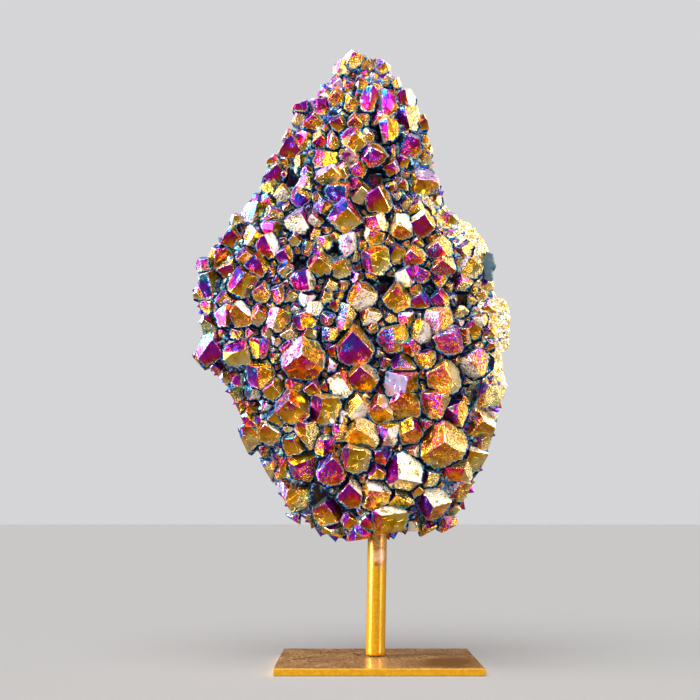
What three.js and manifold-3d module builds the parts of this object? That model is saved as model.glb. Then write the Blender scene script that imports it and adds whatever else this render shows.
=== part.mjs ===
import * as THREE from 'three';
import { mergeVertices } from 'three/addons/utils/BufferGeometryUtils.js';
import Module from 'manifold-3d';

// Real sizes in millimetres. The origin is the centre of the plate's underside and the druse faces -Y.
const PLATE_SIDE = 100;
const PLATE_THICKNESS = 3.6;
const PLATE_EDGE_ROUND = 0.5;
const ROD_RADIUS = 5;
const ROD_FOOT = new THREE.Vector3(-0.8, 9, PLATE_THICKNESS + 0.45);
const ROD_LEAN = 0.02;
const ROD_LENGTH = 100;
const ROD_SEGMENTS = 32;
const FIT_GAP = 0.3;
const SOCKET_START = 40;

// The eye that the outline and crystals were read from: its place, tilt and focal length.
const EYE = new THREE.Vector3(-13.8, -689.4, 72.3);
const EYE_TILT = 0.1281;
const EYE_FOCAL = 1330;
const PICTURE_MIDDLE = 350;

// The rock plate that the crystals grow from, as depths along Y from its back to its front.
const ROCK_MIDDLE = [358, 310];
const ROCK_RINGS = [
  { spread: 0.3, depth: 31, lump: 2.4 },
  { spread: 0.62, depth: 29.5, lump: 2.4 },
  { spread: 0.88, depth: 26, lump: 2 },
  { spread: 1.02, depth: 19, lump: 1 },
  { spread: 1.02, depth: 9, lump: 1 },
  { spread: 0.9, depth: 2, lump: 0 },
];
const LUMP_LONG = 13;
const LUMP_SHORT = 19;
const ROCK_BACK = 32;
const ROCK_FRONT = -3;

// Crystal habit: a point of three large and three small faces, with a root sunk in the rock.
const CRYSTAL_SIDES = 6;
const POINT_STEEPNESS = 1.25;
const MOST_LEAN = 0.8;
const LARGE_FACE_CUT = 0.14;
const SMALL_FACE_LIFT = 0.24;
const SIDE_FILL = 0.93;
const POINT_RAISE = 0.5;
const POINT_ROOT = 2;
const STEM_ROOT = 9;
const STEMMED_RIM = 0.15;
const EDGE_FALL = 12;
const EDGE_FALL_WIDTH = 34;

// Repeatable randomness, and how close two corners or a corner and a plane count as one.
const SEED = 20417;
const COUNTER_FACTOR = 1664525;
const COUNTER_SHIFT = 1013904223;
const COUNTER_WRAP = 2 ** 32;
const CORNER_TOLERANCE = 1e-4;
const PLANE_TOLERANCE = 1e-5;

// Rock outline read by eye: across and down in the 700 square picture frame.
const ROCK_OUTLINE = [
  [368, 67], [381, 73], [399, 103], [411, 115], [422, 152], [427, 172], [448, 203], [463, 217],
  [489, 247], [490, 264], [498, 295], [506, 307], [505, 340], [498, 355], [501, 384], [495, 402],
  [483, 441], [477, 459], [459, 493], [451, 508], [422, 524], [400, 523], [352, 530], [330, 525],
  [295, 503], [287, 488], [268, 452], [257, 434], [241, 397], [232, 380], [206, 352], [212, 335],
  [206, 297], [208, 281], [229, 246], [240, 228], [266, 194], [274, 176], [300, 138], [304, 119],
  [330, 96], [338, 81],
];

// Crystals read by eye: middle across, middle down, half width, then the point's offset across and down.
const CRYSTALS = [
  [354, 61, 8, -1, -6], [369, 67, 8, 3, -6], [338, 101, 9, -1, -6], [350, 104, 8, 2, -4],
  [369, 104, 9, 2, -16], [386, 107, 11, -5, -17], [405, 101, 8, 1, -11], [320, 108, 10, -4, -6],
  [313, 123, 9, 0, -6], [408, 121, 12, -6, -9], [389, 132, 10, -1, -11], [289, 150, 11, 4, -10],
  [304, 141, 9, 3, -5], [319, 141, 8, 2, -4], [354, 141, 11, 2, -4], [349, 156, 8, -1, -5],
  [326, 162, 11, -3, -9], [275, 175, 10, 4, -9], [273, 187, 8, -3, -4], [282, 195, 8, 1, -4],
  [328, 175, 11, 4, -3], [343, 171, 8, 0, -3], [301, 197, 9, -4, -3], [338, 193, 11, 9, -4],
  [323, 208, 8, 1, -4], [374, 157, 11, -3, -7], [408, 147, 12, -4, -7], [425, 161, 8, 2, -4],
  [358, 171, 8, -2, -4], [422, 184, 12, 0, -9], [361, 195, 9, -1, -6], [379, 203, 12, 1, -13],
  [345, 217, 14, 6, -5], [253, 213, 10, 7, -9], [273, 216, 8, -1, -5], [228, 238, 10, 5, -6],
  [254, 239, 10, 3, -7], [272, 230, 9, 3, -2], [269, 249, 10, -4, -13], [220, 258, 11, -5, -5],
  [247, 257, 9, 0, -5], [259, 267, 10, -3, -12], [228, 269, 9, 4, -4], [207, 285, 13, 4, -11],
  [243, 284, 13, 2, -10], [285, 257, 8, -1, -5], [262, 293, 9, 0, -7], [277, 294, 8, 2, -5],
  [299, 222, 11, 3, -8], [314, 220, 8, -2, -4], [325, 244, 8, -1, -6], [321, 265, 11, 0, -6],
  [348, 247, 9, 4, -13], [342, 268, 9, 2, -7], [303, 282, 11, 4, -10], [376, 223, 10, -2, -5],
  [374, 238, 9, -3, -5], [403, 228, 11, -7, 1], [421, 225, 12, 2, -8], [416, 210, 8, 1, -5],
  [376, 261, 13, -8, -1], [396, 255, 9, -2, -5], [414, 258, 10, -6, -6], [440, 250, 11, -3, -6],
  [443, 266, 10, -3, -3], [418, 275, 8, 2, -7], [406, 278, 9, -2, -6], [465, 242, 8, 2, -5],
  [469, 270, 9, 0, -10], [462, 284, 8, 1, -3], [208, 324, 8, -4, -4], [225, 318, 9, 2, -12],
  [242, 317, 11, -6, -9], [260, 315, 9, -1, -6], [210, 351, 13, 7, -9], [217, 369, 8, -3, -3],
  [237, 354, 13, 9, -4], [259, 347, 9, 1, -7], [278, 321, 11, 4, -12], [261, 376, 13, -5, -7],
  [313, 310, 8, -1, -7], [305, 322, 10, -3, -6], [347, 312, 8, 0, -8], [290, 334, 8, 1, -5],
  [307, 335, 8, 0, -4], [303, 360, 19, -1, -2], [355, 348, 17, -3, -18], [362, 298, 13, -1, -6],
  [370, 316, 9, -2, -4], [397, 299, 12, 0, -12], [421, 301, 8, -2, -5], [440, 301, 9, -3, -7],
  [438, 322, 13, 0, -6], [422, 332, 10, 1, -7], [394, 339, 13, -2, -10], [410, 348, 8, -2, -3],
  [426, 360, 9, 0, -6], [402, 365, 10, -1, -5], [449, 341, 13, 4, -7], [472, 332, 8, 1, -7],
  [463, 336, 8, 2, -6], [475, 364, 13, -8, -7], [444, 379, 15, -1, -14], [233, 398, 9, -1, -9],
  [254, 394, 8, -2, -3], [251, 408, 8, -1, -6], [274, 390, 10, -1, -6], [249, 421, 9, -3, -5],
  [250, 437, 10, -6, -2], [269, 433, 11, -5, -8], [277, 418, 8, -2, -8], [294, 388, 8, 0, -6],
  [294, 408, 16, -5, -7], [295, 444, 11, -3, -6], [313, 390, 8, 1, -8], [342, 386, 12, -2, -13],
  [363, 379, 13, -3, -9], [325, 410, 15, -4, -10], [358, 408, 13, 4, -7], [308, 434, 12, -1, -9],
  [340, 433, 8, -1, -8], [363, 435, 15, -8, -5], [325, 446, 9, 0, -5], [356, 459, 13, -6, -9],
  [401, 384, 15, 8, -7], [380, 411, 13, -5, -6], [404, 406, 14, -5, -7], [435, 403, 14, 7, -8],
  [409, 431, 12, 6, -1], [388, 434, 11, -2, -4], [443, 446, 20, -1, -2], [454, 413, 12, -3, -5],
  [382, 455, 8, -1, -4], [485, 397, 10, 4, -12], [480, 425, 13, 3, -3], [479, 443, 8, 2, -3],
  [478, 458, 11, -5, -6], [268, 467, 8, -3, -4], [285, 470, 9, 0, -11], [303, 467, 13, -8, -1],
  [293, 496, 16, -5, -9], [331, 471, 13, 3, -15], [329, 513, 12, -4, -11], [352, 495, 12, -4, -14],
  [376, 495, 14, -8, -6], [377, 473, 8, 0, -6], [404, 472, 17, -8, 7], [400, 499, 11, -4, -4],
  [359, 534, 8, -1, 3], [390, 521, 15, -8, -8], [334, 529, 9, -2, 3], [429, 478, 8, -1, -5],
  [456, 471, 13, 6, -3], [457, 488, 10, 1, -5], [433, 503, 14, -3, 6], [416, 523, 8, -2, -3],
];

const wasm = await Module();
wasm.setup();

// Repeatable random numbers from a counter that is multiplied, shifted and wrapped.
let counter = SEED;
function randomBetween(low, high) {
  counter = (counter * COUNTER_FACTOR + COUNTER_SHIFT) % COUNTER_WRAP;
  return low + (high - low) * counter / COUNTER_WRAP;
}

// Follows the line of sight through a picture point to the upright plane at one depth.
function sightPoint(across, down, depth) {
  const sideways = (across - PICTURE_MIDDLE) / EYE_FOCAL;
  const upward = (PICTURE_MIDDLE - down) / EYE_FOCAL;
  const ray = new THREE.Vector3(
    sideways,
    Math.cos(EYE_TILT) - upward * Math.sin(EYE_TILT),
    Math.sin(EYE_TILT) + upward * Math.cos(EYE_TILT),
  );
  return ray.multiplyScalar((depth - EYE.y) / ray.y).add(EYE);
}

function indexedGeometry(points, triangles) {
  const geometry = new THREE.BufferGeometry();
  const positions = points.flatMap((point) => [point.x, point.y, point.z]);
  geometry.setAttribute('position', new THREE.Float32BufferAttribute(positions, 3));
  geometry.setIndex(triangles);
  return geometry;
}

function toSolid(geometry) {
  const bare = geometry.clone();
  bare.deleteAttribute('normal');
  bare.deleteAttribute('uv');
  const merged = mergeVertices(bare, PLANE_TOLERANCE);
  return new wasm.Manifold(new wasm.Mesh({
    numProp: 3,
    vertProperties: new Float32Array(merged.attributes.position.array),
    triVerts: new Uint32Array(merged.index.array),
  }));
}

// The outer skin of a joined solid: pockets closed off between crystals are filled by leaving them out.
function outerSkin(solid) {
  const mesh = solid.getMesh();
  const parent = Array.from({ length: mesh.vertProperties.length / mesh.numProp }, (_, number) => number);
  const root = (number) => {
    let here = number;
    while (parent[here] !== here) {
      parent[here] = parent[parent[here]];
      here = parent[here];
    }
    return here;
  };
  const skins = new Map();
  for (let corner = 0; corner < mesh.triVerts.length; corner += 3) {
    const [first, second, third] = mesh.triVerts.subarray(corner, corner + 3);
    parent[root(second)] = root(first);
    parent[root(third)] = root(first);
  }
  for (let corner = 0; corner < mesh.triVerts.length; corner += 3) {
    const skin = root(mesh.triVerts[corner]);
    skins.set(skin, [...(skins.get(skin) ?? []), ...mesh.triVerts.subarray(corner, corner + 3)]);
  }
  const largest = [...skins.values()].sort((a, b) => b.length - a.length)[0];
  const geometry = new THREE.BufferGeometry();
  geometry.setAttribute('position', new THREE.BufferAttribute(mesh.vertProperties, mesh.numProp));
  geometry.setIndex(largest);
  return geometry.toNonIndexed();
}

// A convex solid from {normal, reach} planes: its corners are where three planes meet inside the rest.
function convexGeometry(planes) {
  const corners = [];
  const faces = planes.map(() => []);
  const addCorner = (corner) => {
    if (planes.some((plane) => plane.normal.dot(corner) > plane.reach + PLANE_TOLERANCE)) {
      return;
    }
    if (corners.some((other) => other.distanceTo(corner) < CORNER_TOLERANCE)) {
      return;
    }
    corners.push(corner);
    planes.forEach((plane, number) => {
      if (Math.abs(plane.normal.dot(corner) - plane.reach) < CORNER_TOLERANCE) {
        faces[number].push(corners.length - 1);
      }
    });
  };
  for (let i = 0; i < planes.length; i += 1) {
    for (let j = i + 1; j < planes.length; j += 1) {
      const line = planes[i].normal.clone().cross(planes[j].normal);
      for (let k = j + 1; k < planes.length; k += 1) {
        const volume = line.dot(planes[k].normal);
        if (Math.abs(volume) > CORNER_TOLERANCE) {
          const corner = planes[j].normal.clone().cross(planes[k].normal).multiplyScalar(planes[i].reach);
          corner.addScaledVector(planes[k].normal.clone().cross(planes[i].normal), planes[j].reach);
          corner.addScaledVector(line, planes[k].reach);
          addCorner(corner.divideScalar(volume));
        }
      }
    }
  }
  const triangles = [];
  faces.forEach((face, number) => {
    if (face.length < 3) {
      return;
    }
    const normal = planes[number].normal;
    const middle = new THREE.Vector3();
    face.forEach((corner) => middle.addScaledVector(corners[corner], 1 / face.length));
    const first = corners[face[0]].clone().sub(middle);
    const second = normal.clone().cross(first);
    const turn = (corner) => {
      const arm = corners[corner].clone().sub(middle);
      return Math.atan2(arm.dot(second), arm.dot(first));
    };
    const ordered = [...face].sort((a, b) => turn(a) - turn(b));
    for (let corner = 1; corner < ordered.length - 1; corner += 1) {
      triangles.push(ordered[0], ordered[corner], ordered[corner + 1]);
    }
  });
  return indexedGeometry(corners, triangles);
}

// One quartz crystal: a point of three large and three small faces, on a six-sided stem at the rim.
function crystalGeometry(base, axis, width, height, stemmed) {
  const sideways = new THREE.Vector3(0, 0, 1).cross(axis).normalize();
  const upward = axis.clone().cross(sideways);
  const tip = base.clone().addScaledVector(axis, height);
  const roll = randomBetween(0, 2 * Math.PI);
  const root = stemmed ? STEM_ROOT : POINT_ROOT;
  const planes = [{ normal: axis.clone().negate(), reach: root - axis.dot(base) }];
  for (let side = 0; side < CRYSTAL_SIDES; side += 1) {
    const angle = roll + side * 2 * Math.PI / CRYSTAL_SIDES;
    const outward = sideways.clone().multiplyScalar(Math.cos(angle));
    outward.addScaledVector(upward, Math.sin(angle));
    const slope = outward.clone().multiplyScalar(height).addScaledVector(axis, width).normalize();
    const cut = side % 2 === 0
      ? -randomBetween(0, LARGE_FACE_CUT)
      : randomBetween(0, SMALL_FACE_LIFT);
    planes.push({ normal: slope, reach: slope.dot(tip) + width * cut });
    if (stemmed) {
      planes.push({ normal: outward, reach: outward.dot(base) + width });
    }
  }
  return convexGeometry(planes);
}

function distanceToOutline(point, outline) {
  const nearest = new THREE.Vector3();
  const edge = new THREE.Line3();
  let least = Infinity;
  outline.forEach((corner, number) => {
    edge.set(corner, outline[(number + 1) % outline.length]);
    edge.closestPointToPoint(point, true, nearest);
    least = Math.min(least, nearest.distanceTo(point));
  });
  return least;
}

// Slow swells of the broken rock, between -1 and 1.
function rockLump(point) {
  const long = Math.sin(point.x / LUMP_LONG + point.z / LUMP_SHORT);
  return (long + Math.sin(point.z / LUMP_LONG - point.x / LUMP_SHORT)) / 2;
}

// The rock plate, lofted through rings of its outline and closed with a fan at each end.
function rockGeometry() {
  const points = [sightPoint(...ROCK_MIDDLE, ROCK_BACK)];
  const count = ROCK_OUTLINE.length;
  const triangles = [];
  ROCK_RINGS.forEach((ring) => {
    const middle = sightPoint(...ROCK_MIDDLE, ring.depth);
    ROCK_OUTLINE.forEach(([across, down]) => {
      const point = sightPoint(across, down, ring.depth);
      point.lerp(middle, 1 - ring.spread);
      point.y += ring.lump * rockLump(point);
      points.push(point);
    });
  });
  points.push(sightPoint(...ROCK_MIDDLE, ROCK_FRONT));
  const front = points.length - 1;
  const lastRing = 1 + (ROCK_RINGS.length - 1) * count;
  for (let step = 0; step < count; step += 1) {
    const next = (step + 1) % count;
    triangles.push(0, 1 + step, 1 + next);
    triangles.push(front, lastRing + next, lastRing + step);
    for (let ring = 0; ring < ROCK_RINGS.length - 1; ring += 1) {
      const here = 1 + ring * count;
      const ahead = here + count;
      triangles.push(here + step, ahead + step, here + next);
      triangles.push(here + next, ahead + step, ahead + next);
    }
  }
  return indexedGeometry(points, triangles);
}

// The rock and every crystal joined, with a socket bored up for the rod.
function druseGeometry(rodTool) {
  const outline = ROCK_OUTLINE.map(([across, down]) => sightPoint(across, down, 0));
  let druse = toSolid(rockGeometry());
  CRYSTALS.forEach(([across, down, halfWidth, pointAcross, pointDown]) => {
    const flat = sightPoint(across, down, 0);
    const scale = sightPoint(across + 1, down, 0).x - flat.x;
    const width = halfWidth * scale * SIDE_FILL;
    const lean = new THREE.Vector3(pointAcross, 0, -pointDown).multiplyScalar(scale);
    const height = Math.max(width * POINT_STEEPNESS, lean.length() / MOST_LEAN);
    const axis = lean.divideScalar(height);
    axis.y = -Math.sqrt(1 - axis.lengthSq());
    const inset = Math.min(distanceToOutline(flat, outline) / EDGE_FALL_WIDTH, 1);
    const surface = ROCK_FRONT + EDGE_FALL * (1 - inset) ** 2;
    const base = sightPoint(across, down, surface - POINT_RAISE);
    const stemmed = inset < STEMMED_RIM;
    druse = druse.add(toSolid(crystalGeometry(base, axis, width, height, stemmed)));
  });
  return outerSkin(druse.subtract(rodTool));
}

function rodGeometry(radius, start, length) {
  const geometry = new THREE.CylinderGeometry(radius, radius, length, ROD_SEGMENTS);
  geometry.rotateX(Math.PI / 2);
  geometry.translate(0, 0, start + length / 2);
  geometry.rotateY(ROD_LEAN);
  geometry.translate(ROD_FOOT.x, ROD_FOOT.y, ROD_FOOT.z);
  return geometry;
}

function plateGeometry() {
  const half = PLATE_SIDE / 2 - PLATE_EDGE_ROUND;
  const outline = new THREE.Shape();
  outline.moveTo(-half, -half);
  outline.lineTo(half, -half);
  outline.lineTo(half, half);
  outline.lineTo(-half, half);
  const geometry = new THREE.ExtrudeGeometry(outline, {
    depth: PLATE_THICKNESS - 2 * PLATE_EDGE_ROUND,
    bevelThickness: PLATE_EDGE_ROUND,
    bevelSize: PLATE_EDGE_ROUND,
    bevelSegments: 2,
  });
  geometry.translate(0, 0, PLATE_EDGE_ROUND);
  return geometry;
}

function namedMesh(name, geometry, look) {
  const mesh = new THREE.Mesh(geometry, new THREE.MeshStandardMaterial(look));
  mesh.name = name;
  return mesh;
}

const socketLength = ROD_LENGTH + FIT_GAP - SOCKET_START;
const socket = toSolid(rodGeometry(ROD_RADIUS + FIT_GAP, SOCKET_START, socketLength));
const part = new THREE.Group();
part.add(namedMesh('druse', druseGeometry(socket), { color: 0xa0447a, roughness: 0.25, metalness: 0.8 }));
part.add(namedMesh('rod', rodGeometry(ROD_RADIUS, 0, ROD_LENGTH), {
  color: 0xc8902c,
  roughness: 0.35,
  metalness: 0.8,
}));
part.add(namedMesh('base_plate', plateGeometry(), { color: 0xb98a45, roughness: 0.5, metalness: 0.7 }));

export default part;
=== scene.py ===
# %% [markdown]
# # A film-coated crystal druse on a gold stand
# The real object is a plate of quartz points that grew side by side on rock. Metal vapour left a film on
# them that is a few hundred nanometres thick, so they flash gold, magenta, violet and blue. A gold rod
# holds the plate over a square gold base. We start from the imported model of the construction. It is a fixed
# frame: every mesh made below is in its metres and axes, so nothing has to be fitted afterwards.

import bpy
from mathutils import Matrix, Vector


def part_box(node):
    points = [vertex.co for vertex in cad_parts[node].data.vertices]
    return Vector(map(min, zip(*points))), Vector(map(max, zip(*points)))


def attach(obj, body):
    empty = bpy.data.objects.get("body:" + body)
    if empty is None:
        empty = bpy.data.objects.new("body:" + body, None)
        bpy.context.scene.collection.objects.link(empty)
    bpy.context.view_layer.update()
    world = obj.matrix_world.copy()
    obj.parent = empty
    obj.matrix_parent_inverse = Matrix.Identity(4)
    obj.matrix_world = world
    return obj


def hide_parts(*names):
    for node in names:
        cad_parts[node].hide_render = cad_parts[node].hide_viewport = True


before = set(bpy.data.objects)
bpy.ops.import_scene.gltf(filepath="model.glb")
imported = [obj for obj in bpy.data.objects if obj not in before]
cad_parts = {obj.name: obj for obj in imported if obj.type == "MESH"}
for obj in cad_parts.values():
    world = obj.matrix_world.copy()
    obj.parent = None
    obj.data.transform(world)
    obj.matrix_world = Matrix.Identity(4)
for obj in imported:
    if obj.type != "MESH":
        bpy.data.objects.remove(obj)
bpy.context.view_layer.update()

# %% Modules and units
import itertools
import math

import bmesh
import bpy
import numpy as np
from mathutils import Matrix, Vector, noise

MM = 0.001
TINY = 1e-9
scene = bpy.context.scene

# %% [markdown]
# ## The camera
# The square base shows how the picture was taken: the way its sides run together gives the distance, and
# the height of its back edge over its front edge gives the eye's height. The eye turns out to be low and
# tilted a little up. A shifted lens could give the same framing, but a plain tilt keeps working when the
# camera is moved.

# %% Camera
PICTURE_SIDE = 700
PICTURE_MIDDLE = PICTURE_SIDE / 2
EYE = np.array([-13.8, -689.4, 72.3])
EYE_TILT = 0.1281
EYE_FOCAL = 1330
SENSOR_WIDTH = 36

camera_data = bpy.data.cameras.new("eye")
camera_data.sensor_width = SENSOR_WIDTH
camera_data.lens = SENSOR_WIDTH * EYE_FOCAL / PICTURE_SIDE
camera = bpy.data.objects.new("eye", camera_data)
camera.location = EYE * MM
camera.rotation_euler = (math.pi / 2 + EYE_TILT, 0, 0)
scene.collection.objects.link(camera)
scene.camera = camera
print("lens in millimetres:", camera_data.lens)

# %% [markdown]
# ## From picture to object
# Each crystal was read off the picture, so its place is written in picture units. A line of
# sight through that place meets the druse's front at one depth, and that meeting point is where the crystal
# stands.

# %% Line of sight
def sight_point(across, down, depth):
    """Where the sight line through a picture place meets the upright plane at one depth, in millimetres."""
    sideways = (across - PICTURE_MIDDLE) / EYE_FOCAL
    upward = (PICTURE_MIDDLE - down) / EYE_FOCAL
    ray = np.array([
        sideways,
        math.cos(EYE_TILT) - upward * math.sin(EYE_TILT),
        math.sin(EYE_TILT) + upward * math.cos(EYE_TILT),
    ])
    return EYE + ray * (depth - EYE[1]) / ray[1]


def picture_scale(across, down):
    """Millimetres to one picture unit at depth 0."""
    return sight_point(across + 1, down, 0)[0] - sight_point(across, down, 0)[0]


print("picture middle on the druse:", sight_point(PICTURE_MIDDLE, PICTURE_MIDDLE, 0))
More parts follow.
